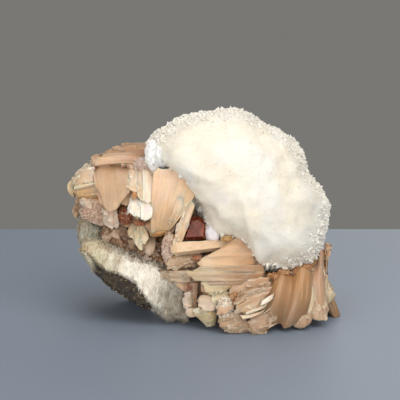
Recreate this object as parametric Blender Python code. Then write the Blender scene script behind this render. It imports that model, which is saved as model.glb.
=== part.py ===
"""Scolecite on stilbite: a hand specimen about 100 mm wide, standing on the floor plane with +Z up.

Places are given in millimetres as (across, up, deep), the way the group is seen by someone who looks
down at it a little from the front. Across runs to the right, up runs up the field of view, and deep
runs away from the viewer. place() turns them into upright axes in metres. The origin is on the floor,
under the middle of the group.
"""

import math
import random
from collections import namedtuple

import bmesh
import bpy
import numpy as np
from mathutils import Vector, noise

MM = 0.001

# The view that the places are given in: its downward lean, its distance, and where its middle lies
LEAN_DEG = 12.0
VIEW_MM = 416.7
MIDDLE_MM = (-2.25, 0.1, 43.4)

# Clearance between neighbouring minerals
GAP_MM = 0.35

# Corners nearer than this, left by a cut, become one
WELD_MM = 0.003

# The scolecite ball: its middle, its outline (across, up) from the right and round over the top, its
# depth, and how full its corners are (2 would be an ellipse)
BALL_MIDDLE = (14.2, 3.8, 0.0)
BALL_OUTLINE = (
    (48.6, -2.0), (47.1, 1.1), (44.3, 5.3), (40.5, 9.8), (37.7, 17.6), (35.4, 22.5), (31.9, 24.4),
    (24.8, 27.8), (19.1, 31.9), (11.3, 34.1), (4.1, 33.0), (-2.8, 31.9), (-8.3, 30.0), (-16.1, 25.9),
    (-19.6, 22.2), (-20.2, 17.0), (-14.0, 12.5), (-7.0, 7.5), (-4.5, 2.0), (-1.8, -2.5), (1.0, -8.0),
    (2.8, -14.6), (12.0, -15.5), (17.5, -17.5), (20.5, -22.5), (23.3, -27.6), (28.1, -27.0), (34.1, -27.4),
    (38.5, -25.2), (43.4, -24.0), (45.3, -19.7), (46.2, -14.6), (47.6, -8.0),
)
BALL_FRONT = 27.0
BALL_BACK = 28.0
BALL_SQUARENESS = 2.4
BALL_BODY_MM = -0.9

# Its spines: how high they are, one on how many of the body's triangles, how far they lean, how uneven
# they are, and the side where they are short
SPINE_MM = 2.0
SPINE_EVERY = 5
SPINE_LEAN = 0.25
SPINE_UNEVEN = 0.3
STILBITE_SIDE = (-0.55, -0.83, 0.0)

# Swellings and dents on the ball's front: place, radius, and height (a dent is below zero)
BALL_RELIEF = {
    "flank": ((-1.0, 6.0, -20.0), 5.5, 2.6),
    "valley": ((4.4, -3.6, -22.0), 3.4, -1.1),
    "lobe": ((1.8, 0.0, -21.0), 3.2, 1.4),
    "second_valley": ((5.0, -8.5, -22.0), 3.6, -0.9),
    "upper_swelling": ((6.0, 22.0, -16.0), 12.0, 1.2),
    "front_swelling": ((20.0, 2.0, -27.0), 13.0, 1.5),
    "lower_swelling": ((36.0, -14.0, -16.0), 10.0, 1.4),
    "lower_lip": ((20.0, -20.0, -18.0), 8.0, 1.2),
}

Sheaf = namedtuple("Sheaf", "root tip facing root_width tip_width thickness blades")
Lump = namedtuple("Lump", "middle radii rough")
Growth = namedtuple("Growth", "middle radii towards spread count length width seed")
Skirt = namedtuple("Skirt", "middle radii start_deg end_deg count top bottom thickness seed")

# A flat crystal's chisel end: its length and its edge's width as shares of the crystal's width, and how
# far its edge lies behind the middle as a share of the thickness
CHISEL_LENGTH = 0.45
CHISEL_WIDTH = 0.64
CHISEL_DROP = 0.12

# How far each golden turn carries the next crystal of a growth round
GOLDEN_TURN_DEG = 137.5

# Upper stilbite cluster: bow-tie sheaves that hang down over the hollow
UPPER_SHEAVES = {
    "boat": Sheaf((-32.0, 9.6, -6.0), (-49.4, 5.0, -8.0), (-0.25, 0.35, -0.9), 12.0, 4.5, 5.0, 2),
    "boat_ledge": Sheaf((-33.0, 5.4, -8.0), (-48.4, 3.4, -9.5), (-0.1, 0.6, -0.8), 4.0, 2.4, 3.5, 1),
    "boat_side": Sheaf((-36.0, 3.0, -7.0), (-45.6, 1.2, -8.0), (-0.2, -0.2, -0.95), 7.0, 4.5, 4.0, 2),
    "tongue": Sheaf((-34.0, 17.0, -8.5), (-33.4, -4.6, -16.0), (-0.15, 0.25, -0.95), 13.0, 7.4, 4.6, 2),
    "tongue_side": Sheaf((-26.0, 17.0, -9.0), (-26.4, -0.4, -15.0), (0.05, 0.2, -0.95), 10.0, 7.0, 4.2, 1),
    "light_blades": Sheaf((-20.8, 14.6, -11.5), (-20.2, -1.4, -16.5), (0.1, 0.15, -1.0), 5.0, 4.6, 3.2, 1),
    "pearly": Sheaf((-22.0, 2.0, -14.0), (-21.8, -7.4, -18.6), (0.1, 0.25, -1.0), 6.6, 7.0, 2.8, 1),
    "fan_left": Sheaf((-16.0, -12.4, -13.0), (-14.6, 13.0, -15.0), (0.0, 0.1, -1.0), 4.6, 7.6, 5.6, 2),
    "fan_middle": Sheaf((-14.6, -12.8, -13.5), (-9.0, 13.0, -15.5), (0.1, 0.1, -1.0), 4.6, 8.0, 6.0, 2),
    "fan_right": Sheaf((-13.0, -12.0, -13.5), (-3.6, 8.4, -15.0), (0.25, 0.1, -1.0), 4.4, 8.8, 5.6, 2),
    "fan_edge": Sheaf((-9.4, -16.8, -15.5), (-2.4, -4.0, -15.0), (0.2, 0.0, -1.0), 2.6, 3.4, 3.6, 1),
    "hanging_blades": Sheaf((-23.0, -7.0, -8.0), (-21.6, -18.6, -13.0), (0.0, 0.2, -1.0), 6.4, 4.2, 3.4, 1),
    "small_blade": Sheaf((-18.2, -11.0, -8.0), (-18.8, -20.8, -12.0), (0.1, 0.1, -1.0), 3.6, 3.4, 2.4, 1),
    "crest_left": Sheaf((-30.0, 12.0, 2.0), (-41.0, 15.2, 1.0), (-0.2, 0.6, -0.8), 9.0, 6.0, 4.0, 1),
    "crest": Sheaf((-27.0, 10.0, 4.0), (-32.6, 18.6, 3.0), (0.0, 0.4, -0.9), 11.0, 9.0, 6.0, 2),
}
UPPER_LUMPS = {
    "heart": Lump((-27.0, 5.0, 4.0), (15.5, 11.5, 14.0), 0.10),
    "brown_dome": Lump((-26.4, 17.2, -1.0), (8.0, 4.0, 8.0), 0.04),
    "fan_backing": Lump((-9.0, -3.0, 1.0), (11.0, 12.5, 12.5), 0.06),
    "fan_root": Lump((-17.0, -8.6, -5.0), (5.0, 6.0, 7.0), 0.08),
    "underside": Lump((-36.0, -2.6, -3.0), (8.6, 5.4, 8.0), 0.16),
    "recess": Lump((-26.0, -5.6, -3.0), (7.4, 5.6, 7.6), 0.12),
}
UPPER_GROWTHS = {
    "under": Growth((-36.0, -2.6, -3.0), (8.0, 5.0, 8.0), (-0.3, -0.9, -0.5), 60.0, 5, 3.6, 3.6, 5),
}
UPPER_SKIRTS = {
    "behind": Skirt((-27.0, 4.0, 4.0), (18.5, 11.5, 16.5), 40.0, 196.0, 5, 0.9, -0.85, 4.0, 3),
    "behind_crest": Skirt((-25.0, 8.0, 4.0), (12.0, 10.0, 10.0), 60.0, 190.0, 3, 1.0, -0.1, 3.6, 4),
}

# Lower stilbite cluster: a level sheaf, broken blades under it, and waxy blades at the right
LOWER_SHEAVES = {
    "level_top": Sheaf((20.4, -19.0, -11.5), (3.6, -21.2, -18.5), (0.0, 0.45, -0.9), 8.0, 5.0, 4.0, 2),
    "level_middle": Sheaf((21.6, -23.0, -14.0), (-1.6, -24.0, -20.5), (0.0, 0.25, -1.0), 6.4, 5.0, 4.4, 2),
    "level_lower": Sheaf((22.0, -26.6, -14.0), (-4.2, -28.2, -20.5), (-0.1, -0.1, -1.0), 6.0, 5.0, 5.0, 2),
    "shelf_wedge": Sheaf((0.6, -21.0, -12.0), (-13.8, -24.8, -15.5), (0.0, 0.1, -1.0), 5.0, 3.6, 4.6, 2),
    "shelf_edge": Sheaf((-6.0, -20.0, -11.0), (-13.0, -17.0, -15.0), (-0.3, 0.1, -1.0), 6.0, 4.4, 3.4, 1),
    "brown_blade": Sheaf((-1.8, -31.0, -12.0), (-10.8, -26.8, -14.6), (0.0, -0.2, -1.0), 4.6, 2.2, 3.0, 1),
    "cream_fan": Sheaf((10.0, -33.0, -13.5), (-0.2, -32.8, -19.0), (-0.1, 0.2, -1.0), 5.0, 4.6, 3.6, 1),
    "grey_lump": Sheaf((8.6, -38.0, -12.0), (-1.0, -38.6, -18.0), (-0.2, 0.1, -1.0), 6.6, 5.2, 5.0, 1),
    "green_lump": Sheaf((5.6, -40.0, -9.0), (0.8, -44.6, -12.0), (-0.4, -0.1, -1.0), 5.0, 3.6, 4.0, 1),
    "white_upper": Sheaf((1.0, -34.4, -7.0), (-6.6, -33.2, -10.0), (-0.3, 0.1, -1.0), 4.0, 2.8, 3.0, 1),
    "white_lower": Sheaf((1.0, -38.6, -7.0), (-6.4, -39.4, -9.6), (-0.4, 0.0, -1.0), 4.4, 3.0, 3.4, 1),
    "tan_plate": Sheaf((24.0, -29.6, -16.0), (13.8, -40.4, -22.6), (-0.1, 0.25, -1.0), 7.4, 5.2, 3.6, 2),
    "pearly_ridge": Sheaf((27.6, -34.6, -17.0), (15.4, -43.6, -22.4), (-0.1, 0.45, -0.9), 4.6, 3.8, 3.0, 2),
    "sparkle": Sheaf((13.6, -36.6, -16.0), (7.0, -43.2, -21.4), (-0.2, 0.3, -1.0), 5.4, 4.4, 3.4, 1),
    "foot_left": Sheaf((15.6, -40.6, -14.0), (8.4, -47.8, -18.6), (-0.2, 0.0, -1.0), 7.0, 5.6, 5.0, 2),
    "foot": Sheaf((24.6, -40.6, -14.0), (21.0, -50.0, -17.6), (-0.1, 0.1, -1.0), 8.0, 6.6, 5.6, 2),
    "waxy_left": Sheaf((32.0, -26.6, -11.0), (23.2, -45.8, -18.0), (-0.35, 0.2, -1.0), 6.6, 5.6, 5.4, 2),
    "waxy_middle": Sheaf((36.0, -26.6, -10.0), (29.4, -47.0, -16.0), (-0.3, 0.15, -1.0), 5.6, 5.6, 5.4, 2),
    "waxy_right": Sheaf((40.0, -26.0, -8.0), (34.6, -45.6, -14.4), (-0.3, 0.1, -1.0), 5.4, 5.0, 5.4, 2),
    "smooth_toe": Sheaf((39.6, -36.0, -8.0), (37.8, -47.2, -12.6), (0.0, 0.1, -1.0), 5.0, 4.6, 5.0, 1),
    "pale_strip": Sheaf((43.4, -22.0, -5.0), (39.6, -42.8, -12.4), (-0.1, 0.1, -1.0), 3.0, 2.8, 4.0, 1),
    "right_plate": Sheaf((45.4, -20.0, -1.0), (44.4, -44.8, -7.6), (0.3, 0.05, -1.0), 6.0, 6.4, 5.6, 2),
    "right_edge": Sheaf((45.6, -15.6, 3.0), (45.8, -34.0, -1.6), (0.5, 0.0, -1.0), 4.0, 3.6, 4.6, 1),
    "side_crystal": Sheaf((45.6, -29.0, 3.0), (50.2, -36.0, 0.6), (0.4, 0.3, -1.0), 4.4, 3.4, 3.4, 1),
}
LOWER_LUMPS = {
    "heart": Lump((21.0, -34.0, 3.0), (24.0, 13.5, 16.0), 0.08),
    "left_part": Lump((3.0, -29.0, -1.0), (12.0, 10.5, 12.5), 0.08),
    "right_part": Lump((37.0, -31.0, 4.0), (10.5, 13.5, 14.0), 0.08),
}
LOWER_SKIRTS = {
    "right_side": Skirt((24.0, -32.0, 3.0), (26.0, 14.0, 20.0), 0.0, 48.0, 3, 0.95, -0.9, 4.4, 7),
}

# Stilbite behind the ball, down to the floor
BACK_LUMPS = {
    "heart": Lump((12.0, -24.0, 17.0), (25.0, 16.0, 10.0), 0.10),
}
BACK_SKIRTS = {
    "behind": Skirt((13.0, -26.0, 12.0), (29.0, 15.0, 17.0), 22.0, 165.0, 6, 0.8, -0.9, 4.6, 11),
    "behind_top": Skirt((13.0, -18.0, 12.0), (24.0, 9.0, 13.0), 35.0, 160.0, 3, 1.0, -0.7, 3.6, 12),
}

# The pale bar and the dark red crystal: plain closed crystals
BAR = Sheaf((11.0, -16.8, -14.5), (-10.9, -18.6, -18.6), (0.0, 0.5, -0.9), 2.6, 4.2, 3.0, 1)
HEULANDITE_MIDDLE = (-2.0, -11.2, -11.5)
HEULANDITE_OUTLINE = ((-4.6, -3.8), (4.4, -3.4), (5.0, 2.6), (1.6, 5.2), (-1.8, 4.6))
HEULANDITE_DEPTH = 5.0

# The snow-white tuft: two lobes that point down
TUFT_LUMPS = {
    "left_lobe": Lump((-17.6, 16.8, -14.0), (2.5, 5.0, 3.2), 0.12),
    "right_lobe": Lump((-14.2, 16.4, -14.2), (2.0, 3.4, 2.6), 0.12),
}
TUFT_SPINE_MM = 0.8

# The fibrous crust: outlines of its slab, (across, up), at its front, and how it changes with depth
CRUST_OUTLINE = (
    (-45.0, -18.6), (-38.6, -25.4), (-30.0, -28.4), (-23.4, -32.2), (-18.6, -39.6), (-12.8, -44.6),
    (-5.0, -45.0), (-2.5, -33.8), (-13.0, -25.5), (-22.5, -22.4), (-30.8, -19.4), (-39.4, -15.4),
    (-43.4, -16.2),
)
CRUST_UPPER_POINTS = range(8, 13)
CrustStation = namedtuple("CrustStation", "deep size rise")
CRUST_STATIONS = (
    CrustStation(-12.0, 0.74, 0.0),
    CrustStation(-9.0, 1.0, 0.0),
    CrustStation(1.0, 1.0, 2.5),
    CrustStation(7.0, 0.99, 10.0),
    CrustStation(19.0, 0.92, 12.0),
    CrustStation(25.0, 0.70, 8.0),
)
KNOB = Lump((-42.0, -11.4, 2.0), (4.4, 6.0, 8.0), 0.10)

# The basalt rind: its outer edge, (across, up), and its stations' depth and size
BASALT_OUTER = (
    (-45.6, -18.4), (-39.6, -27.0), (-35.0, -31.0), (-29.6, -35.4), (-24.8, -38.2), (-18.4, -40.8),
)
BASALT_INNER = ((-16.0, -38.0), (-24.0, -28.0), (-32.0, -24.0), (-41.0, -19.0))
BASALT_STATIONS = ((-11.0, 0.92), (-7.0, 1.0), (8.0, 1.0), (24.0, 0.84))

# The druse in the hollow: its backing, and its small crystals
HOLLOW_LUMPS = {
    "back_wall": Lump((-25.0, -15.0, 1.0), (13.0, 6.0, 4.0), 0.10),
    "right_wall": Lump((-15.0, -18.5, -2.0), (6.0, 6.5, 5.0), 0.10),
}
HOLLOW_GROWTHS = {
    "back_wall": Growth((-25.0, -15.0, 1.0), (12.4, 5.6, 3.6), (-0.1, -0.1, -1.0), 75.0, 9, 4.6, 3.6, 13),
    "right_wall": Growth((-15.0, -18.5, -2.0), (5.6, 6.0, 4.6), (-0.4, -0.2, -1.0), 70.0, 4, 3.2, 2.6, 17),
}

COLOURS = {
    "scolecite_ball": ((0.90, 0.84, 0.74), 0.85),
    "scolecite_tuft": ((0.93, 0.92, 0.90), 0.8),
    "stilbite_upper_cluster": ((0.62, 0.36, 0.20), 0.45),
    "stilbite_lower_cluster": ((0.56, 0.31, 0.18), 0.45),
    "stilbite_back_cluster": ((0.58, 0.33, 0.20), 0.45),
    "stilbite_bar": ((0.72, 0.53, 0.34), 0.4),
    "heulandite_crystal": ((0.16, 0.03, 0.02), 0.2),
    "hollow_crystals": ((0.22, 0.11, 0.07), 0.5),
    "fibrous_crust": ((0.80, 0.72, 0.54), 0.7),
    "basalt_matrix": ((0.045, 0.03, 0.018), 0.9),
}


def turned(direction):
    """A direction (across, up, deep) in upright axes."""
    lean = math.radians(LEAN_DEG)
    across, up, deep = direction
    return Vector((
        across,
        up * math.sin(lean) + deep * math.cos(lean),
        up * math.cos(lean) - deep * math.sin(lean),
    ))


def place(across, up, deep):
    """A place (across, up, deep) in mm, in upright axes and metres."""
    spread = 1 + deep / VIEW_MM
    return (turned((across * spread, up * spread, deep)) + Vector(MIDDLE_MM)) * MM


def crystal(root, tip, facing, root_width, tip_width, thickness, grow):
    """A flat four-sided crystal from root to tip, with a chisel end. grow thickens it all round."""
    axis = (tip - root).normalized()
    side = axis.cross(facing).normalized()
    out = side.cross(axis)
    length = (tip - root).length
    shoulder = length - min(CHISEL_LENGTH * tip_width, 0.3 * length)
    points = []
    for along, width in ((-grow, root_width), (shoulder, tip_width)):
        for across, up in ((-1, -1), (1, -1), (1, 1), (-1, 1)):
            sideways = side * ((width / 2 + grow) * across)
            points.append(root + axis * along + sideways + out * ((thickness / 2 + grow) * up))
    for across in (-1, 1):
        sideways = side * ((tip_width * CHISEL_WIDTH / 2 + grow) * across)
        points.append(root + axis * (length + grow) + sideways - out * (CHISEL_DROP * thickness))
    faces = [(3, 2, 1, 0), (0, 1, 5, 4), (1, 2, 6, 5), (2, 3, 7, 6), (3, 0, 4, 7)]
    faces += [(4, 5, 9, 8), (6, 7, 8, 9), (5, 6, 9), (7, 4, 8)]
    return points, faces


def sheaf(row, seed, grow=0.0):
    """The blades of one sheaf: side by side, fanned from root to tip, with uneven ends."""
    rng = random.Random(seed)
    root = place(*row.root)
    tip = place(*row.tip)
    axis = (tip - root).normalized()
    side = axis.cross(turned(row.facing)).normalized()
    out = side.cross(axis)
    blades = []
    for k in range(row.blades):
        t = (2 * k + 1) / row.blades - 1
        step = rng.uniform(-0.10, 0.14) * row.thickness - 0.22 * row.thickness * t * t
        short = rng.uniform(0.0, 0.09) + 0.10 * t * t
        start = root + (side * (t * row.root_width * 0.42) + out * step * 0.5) * MM
        end = tip + (side * (t * row.tip_width * 0.42) + out * step) * MM
        end = end.lerp(start, short if row.blades > 1 else 0.0)
        lap = 1.0 if row.blades == 1 else 1.3
        facing = out + side * (0.10 * t + rng.uniform(-0.08, 0.08))
        blades.append(crystal(
            start, end, facing,
            row.root_width / row.blades * lap * MM,
            row.tip_width / row.blades * lap * MM,
            row.thickness * rng.uniform(0.85, 1.05) * MM,
            grow * MM,
        ))
    return blades


def round_mesh(subdivisions):
    """Directions and triangles of a ball with even triangles."""
    bm = bmesh.new()
    bmesh.ops.create_icosphere(bm, subdivisions=subdivisions, radius=1.0)
    points = [v.co.normalized() for v in bm.verts]
    faces = [tuple(v.index for v in f.verts) for f in bm.faces]
    bm.free()
    return points, faces


def lump(row, grow=0.0, subdivisions=2):
    """A rounded, slightly uneven body."""
    directions, faces = round_mesh(subdivisions)
    shift = Vector(row.middle) * 0.37
    points = []
    for d in directions:
        swell = 1 + row.rough * noise.noise(d * 1.7 + shift) * 2
        offset = [d[i] * (row.radii[i] * swell + grow) for i in range(3)]
        points.append(place(*(row.middle[i] + offset[i] for i in range(3))))
    return points, faces


def growth(row, grow=0.0):
    """Crystals that stand out from a rounded body, over a cone of directions around towards."""
    rng = random.Random(row.seed)
    middle_way = Vector(row.towards).normalized()
    sideways = middle_way.orthogonal().normalized()
    other_way = middle_way.cross(sideways)
    blades = []
    for k in range(row.count):
        polar = math.radians(row.spread) * math.sqrt((k + 0.5) / row.count)
        turn = k * math.radians(GOLDEN_TURN_DEG) + rng.uniform(-0.3, 0.3)
        around = sideways * math.cos(turn) + other_way * math.sin(turn)
        out = middle_way * math.cos(polar) + around * math.sin(polar)
        foot = Vector([row.middle[i] + out[i] * row.radii[i] * 0.72 for i in range(3)])
        lean = Vector([rng.uniform(-0.55, 0.55) for _ in range(3)])
        reach = row.length * rng.uniform(0.7, 1.15)
        surface = Vector([row.middle[i] + out[i] * row.radii[i] for i in range(3)])
        tip = surface + (out + lean).normalized() * reach * 0.62
        facing = out.cross(lean).normalized() + out * 0.2
        width = row.width * rng.uniform(0.6, 1.0)
        blades.append(crystal(
            place(*foot), place(*tip), turned(facing),
            width * 0.8 * MM, width * MM, width * rng.uniform(0.3, 0.45) * MM, grow * MM,
        ))
    return blades


def skirt(row, grow=0.0):
    """Sheaves that stand side by side around a body, from its top edge outwards and down."""
    rng = random.Random(row.seed)
    blades = []
    arc = (row.end_deg - row.start_deg) / row.count
    for k in range(row.count):
        turn = math.radians(row.start_deg + arc * (k + 0.5) + rng.uniform(-0.2, 0.2) * arc)
        out = Vector((math.cos(turn), 0.0, math.sin(turn)))
        along = Vector((-out.z, 0.0, out.x))
        reach = math.hypot(row.radii[0] * out.x, row.radii[2] * out.z)
        width = reach * math.radians(arc) * 1.15
        sway = along * rng.uniform(-0.35, 0.35) * width
        up = Vector((0.0, row.radii[1], 0.0))
        root = Vector(row.middle) + out * reach * 0.62 + up * row.top - sway
        tip = Vector(row.middle) + out * reach * rng.uniform(1.0, 1.08) + up * row.bottom + sway
        facing = out + Vector((0.0, 0.25, 0.0)) + along * rng.uniform(-0.3, 0.3)
        blades += sheaf(Sheaf(
            tuple(root), tuple(tip), tuple(facing),
            width * 0.9, width * rng.uniform(0.8, 1.05), row.thickness, 2,
        ), row.seed + k, grow)
    return blades


def ball_radius(direction):
    """The ball's radius in mm in a direction (across, up, deep), without its spines."""
    across, up, deep = direction
    edge = np.array(BALL_OUTLINE) - BALL_MIDDLE[:2]
    angles = np.arctan2(edge[:, 1], edge[:, 0])
    outline = np.interp(math.atan2(up, across), angles, np.hypot(*edge.T), period=math.tau)
    depth = BALL_FRONT if deep < 0 else BALL_BACK
    flat = math.hypot(across, up) / outline
    radius = (flat ** BALL_SQUARENESS + abs(deep / depth) ** BALL_SQUARENESS) ** (-1 / BALL_SQUARENESS)
    for middle, reach, height in BALL_RELIEF.values():
        away = direction * radius + Vector(BALL_MIDDLE) - Vector(middle)
        radius += height * math.exp(-(away.length / reach) ** 2)
    return radius


def spine_height(direction):
    """The spines are short on the side where the ball meets the stilbite."""
    facing_stilbite = direction.dot(Vector(STILBITE_SIDE).normalized())
    return SPINE_MM * (0.35 + 0.65 * min(1.0, max(0.0, 1.3 - 1.5 * facing_stilbite)))


def ball_point(direction, extra):
    """A place on the ball's body, or extra mm above it."""
    offset = direction * (ball_radius(direction) + BALL_BODY_MM + extra)
    return place(*(Vector(BALL_MIDDLE) + offset))


def spiny_ball():
    """The ball: some of the triangles of a rounded body are raised to blunt spines."""
    directions, faces = round_mesh(4)
    points = [ball_point(d, 0.5 * noise.noise(d * 9.0)) for d in directions]
    spines = []
    for number, (i, j, k) in enumerate(faces):
        if number % SPINE_EVERY:
            spines.append((i, j, k))
            continue
        middle = (directions[i] + directions[j] + directions[k]).normalized()
        way = (middle + Vector(noise.noise_vector(middle * 40.0)) * SPINE_LEAN).normalized()
        height = spine_height(middle) * (1 + SPINE_UNEVEN * noise.noise(middle * 23.0))
        tip = len(points)
        foot = (points[i] + points[j] + points[k]) / 3
        points.append(foot + turned(way) * height * MM)
        spines += [(i, j, tip), (j, k, tip), (k, i, tip)]
    return points, spines


def ball_cutter():
    """The space that the ball takes, spines and clearance included."""
    directions, faces = round_mesh(4)
    return [ball_point(d, spine_height(d) * (1 + SPINE_UNEVEN) + GAP_MM) for d in directions], faces


def spiny_lump(row, spine, grow=0.0):
    """A small body with spines."""
    points, faces = lump(row, grow, 1)
    spines = []
    middle = place(*row.middle)
    for face in faces:
        centre = sum((points[i] for i in face), Vector()) / 3
        tip = len(points)
        points.append(centre + (centre - middle).normalized() * (spine + grow * 0.3) * MM)
        spines += [(face[0], face[1], tip), (face[1], face[2], tip), (face[2], face[0], tip)]
    return points, spines


def loft(rings):
    """A closed body through rings of equal length, front to back."""
    count = len(rings[0])
    points = [p for ring in rings for p in ring]
    faces = [tuple(range(count - 1, -1, -1)), tuple(range(len(points) - count, len(points)))]
    for ring in range(len(rings) - 1):
        base = ring * count
        for i in range(count):
            j = (i + 1) % count
            faces.append((base + i, base + j, base + j + count, base + i + count))
    return points, faces


def outline_middle(outline):
    """The mean of an outline's points."""
    count = len(outline)
    return sum(p[0] for p in outline) / count, sum(p[1] for p in outline) / count


def grown_outline(outline, grow):
    """An outline (across, up), moved outwards by grow mm. Its points run against the clock."""
    count = len(outline)
    moved = []
    for i in range(count):
        before = Vector(outline[i - 1])
        here = Vector(outline[i])
        after = Vector(outline[(i + 1) % count])
        along = (here - before).normalized() + (after - here).normalized()
        normal = Vector((along.y, -along.x)).normalized()
        moved.append(tuple(here + normal * grow))
    return moved


def crust_slab(grow=0.0):
    """The crust's slab: its upper side rises behind the hollow."""
    middle = outline_middle(CRUST_OUTLINE)
    outline = grown_outline(CRUST_OUTLINE, grow * 1.3)
    rings = []
    for number, station in enumerate(CRUST_STATIONS):
        ring = []
        for i, (across, up) in enumerate(outline):
            rise = station.rise if i in CRUST_UPPER_POINTS else 0.0
            ring.append(place(
                middle[0] + (across - middle[0]) * station.size,
                middle[1] + (up - middle[1]) * station.size + rise,
                station.deep + (grow if number > 2 else -grow),
            ))
        rings.append(ring)
    return loft(rings)


def basalt_slab():
    """The rind's slab, which reaches into the crust and is cut back to it."""
    outline = BASALT_OUTER + BASALT_INNER
    middle = outline_middle(outline)
    rings = []
    for deep, size in BASALT_STATIONS:
        rings.append([
            place(middle[0] + (a - middle[0]) * size, middle[1] + (u - middle[1]) * size, deep)
            for a, u in outline
        ])
    return loft(rings)


def roughened(solid, height, scale, cuts):
    """The same body with finer triangles, moved in and out by height mm."""
    bm = bmesh.new()
    verts = [bm.verts.new(p) for p in solid[0]]
    for face in solid[1]:
        bm.faces.new([verts[i] for i in face])
    bmesh.ops.recalc_face_normals(bm, faces=bm.faces)
    bmesh.ops.triangulate(bm, faces=bm.faces)
    bmesh.ops.subdivide_edges(bm, edges=bm.edges, cuts=cuts, use_grid_fill=True)
    bmesh.ops.triangulate(bm, faces=bm.faces)
    bm.normal_update()
    moves = {v: v.normal * height * MM * noise.noise(v.co / (scale * MM)) for v in bm.verts}
    for v, move in moves.items():
        v.co += move
    bm.verts.index_update()
    points = [v.co.copy() for v in bm.verts]
    faces = [tuple(v.index for v in f.verts) for f in bm.faces]
    bm.free()
    return points, faces


def heulandite_solid(grow=0.0):
    """A coffin-shaped tablet: its broad front is bevelled all round."""
    across, up, deep = HEULANDITE_MIDDLE
    half = HEULANDITE_DEPTH / 2
    outline = grown_outline(HEULANDITE_OUTLINE, grow)
    rings = []
    for shift, size in ((-half - grow, 0.72), (-half * 0.3, 1.0), (half + grow, 0.86)):
        rings.append([place(across + a * size, up + u * size, deep + shift) for a, u in outline])
    return loft(rings)


def cluster(sheaves, lumps, growths, skirts, grow=0.0):
    """All the bodies of one cluster, before they are joined."""
    solids = [lump(row, grow) for row in lumps.values()]
    for row in skirts.values():
        solids += skirt(row, grow)
    for number, row in enumerate(sheaves.values()):
        solids += sheaf(row, number, grow)
    for row in growths.values():
        solids += growth(row, grow)
    return solids


def crust_solids(grow=0.0):
    """The crust's slab and the knob at its left end."""
    slab = crust_slab(grow)
    return [slab if grow else roughened(slab, 0.5, 2.6, 1), lump(KNOB, grow)]


def floor_block():
    """The floor, as a cutter that leaves flat feet."""
    reach = 90 * MM
    points = [Vector((x, y, z)) for z in (-reach, 0.0) for x, y in (
        (-reach, -reach), (reach, -reach), (reach, reach), (-reach, reach))]
    faces = [(3, 2, 1, 0), (4, 5, 6, 7), (0, 1, 5, 4), (1, 2, 6, 5), (2, 3, 7, 6), (3, 0, 4, 7)]
    return points, faces


def new_object(name, solid):
    """An object with a closed mesh whose faces look outwards."""
    mesh = bpy.data.meshes.new(name)
    mesh.from_pydata([tuple(p) for p in solid[0]], [], solid[1])
    bm = bmesh.new()
    bm.from_mesh(mesh)
    bmesh.ops.recalc_face_normals(bm, faces=bm.faces)
    bm.to_mesh(mesh)
    bm.free()
    obj = bpy.data.objects.new(name, mesh)
    bpy.context.scene.collection.objects.link(obj)
    return obj


def combine(obj, operation, solids):
    """Joins the solids to an object, or cuts them from it, and leaves nothing else behind."""
    operands = bpy.data.collections.new("operands")
    bpy.context.scene.collection.children.link(operands)
    for solid in solids:
        other = new_object("operand", solid)
        bpy.context.scene.collection.objects.unlink(other)
        operands.objects.link(other)
    modifier = obj.modifiers.new(operation, "BOOLEAN")
    modifier.operation = operation
    modifier.solver = "EXACT"
    modifier.operand_type = "COLLECTION"
    modifier.collection = operands
    evaluated = obj.evaluated_get(bpy.context.evaluated_depsgraph_get())
    mesh = bpy.data.meshes.new_from_object(evaluated)
    obj.modifiers.clear()
    obj.data = mesh
    for other in list(operands.objects):
        bpy.data.objects.remove(other)
    bpy.data.collections.remove(operands)


def tidied(obj):
    """Welds the joins, drops loose chips and leaves plain triangles."""
    bm = bmesh.new()
    bm.from_mesh(obj.data)
    bmesh.ops.remove_doubles(bm, verts=bm.verts, dist=WELD_MM * MM)
    bmesh.ops.dissolve_degenerate(bm, edges=bm.edges, dist=WELD_MM * MM)
    bmesh.ops.triangulate(bm, faces=bm.faces)
    left = set(bm.faces)
    shells = []
    while left:
        first = left.pop()
        shell = {first}
        waiting = [first]
        while waiting:
            face = waiting.pop()
            for edge in face.edges:
                for other in edge.link_faces:
                    if other in left:
                        left.discard(other)
                        shell.add(other)
                        waiting.append(other)
        shells.append(shell)
    shells.sort(key=len, reverse=True)
    for shell in shells[1:]:
        bmesh.ops.delete(bm, geom=list(shell), context="FACES")
    bm.to_mesh(obj.data)
    bm.free()


def coat(obj):
    """The node's own material."""
    colour, roughness = COLOURS[obj.name]
    material = bpy.data.materials.new(obj.name)
    material.use_nodes = True
    shader = material.node_tree.nodes["Principled BSDF"]
    shader.inputs["Base Color"].default_value = (*colour, 1.0)
    shader.inputs["Roughness"].default_value = roughness
    shader.inputs["Metallic"].default_value = 0.0
    obj.data.materials.clear()
    obj.data.materials.append(material)


def build(name, solids, cutters):
    """One node: its solids joined, and the space of its neighbours and the floor taken away."""
    obj = new_object(name, solids[0])
    if len(solids) > 1:
        combine(obj, "UNION", solids[1:])
    if cutters:
        combine(obj, "DIFFERENCE", cutters)
    tidied(obj)
    coat(obj)
    return obj


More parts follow.
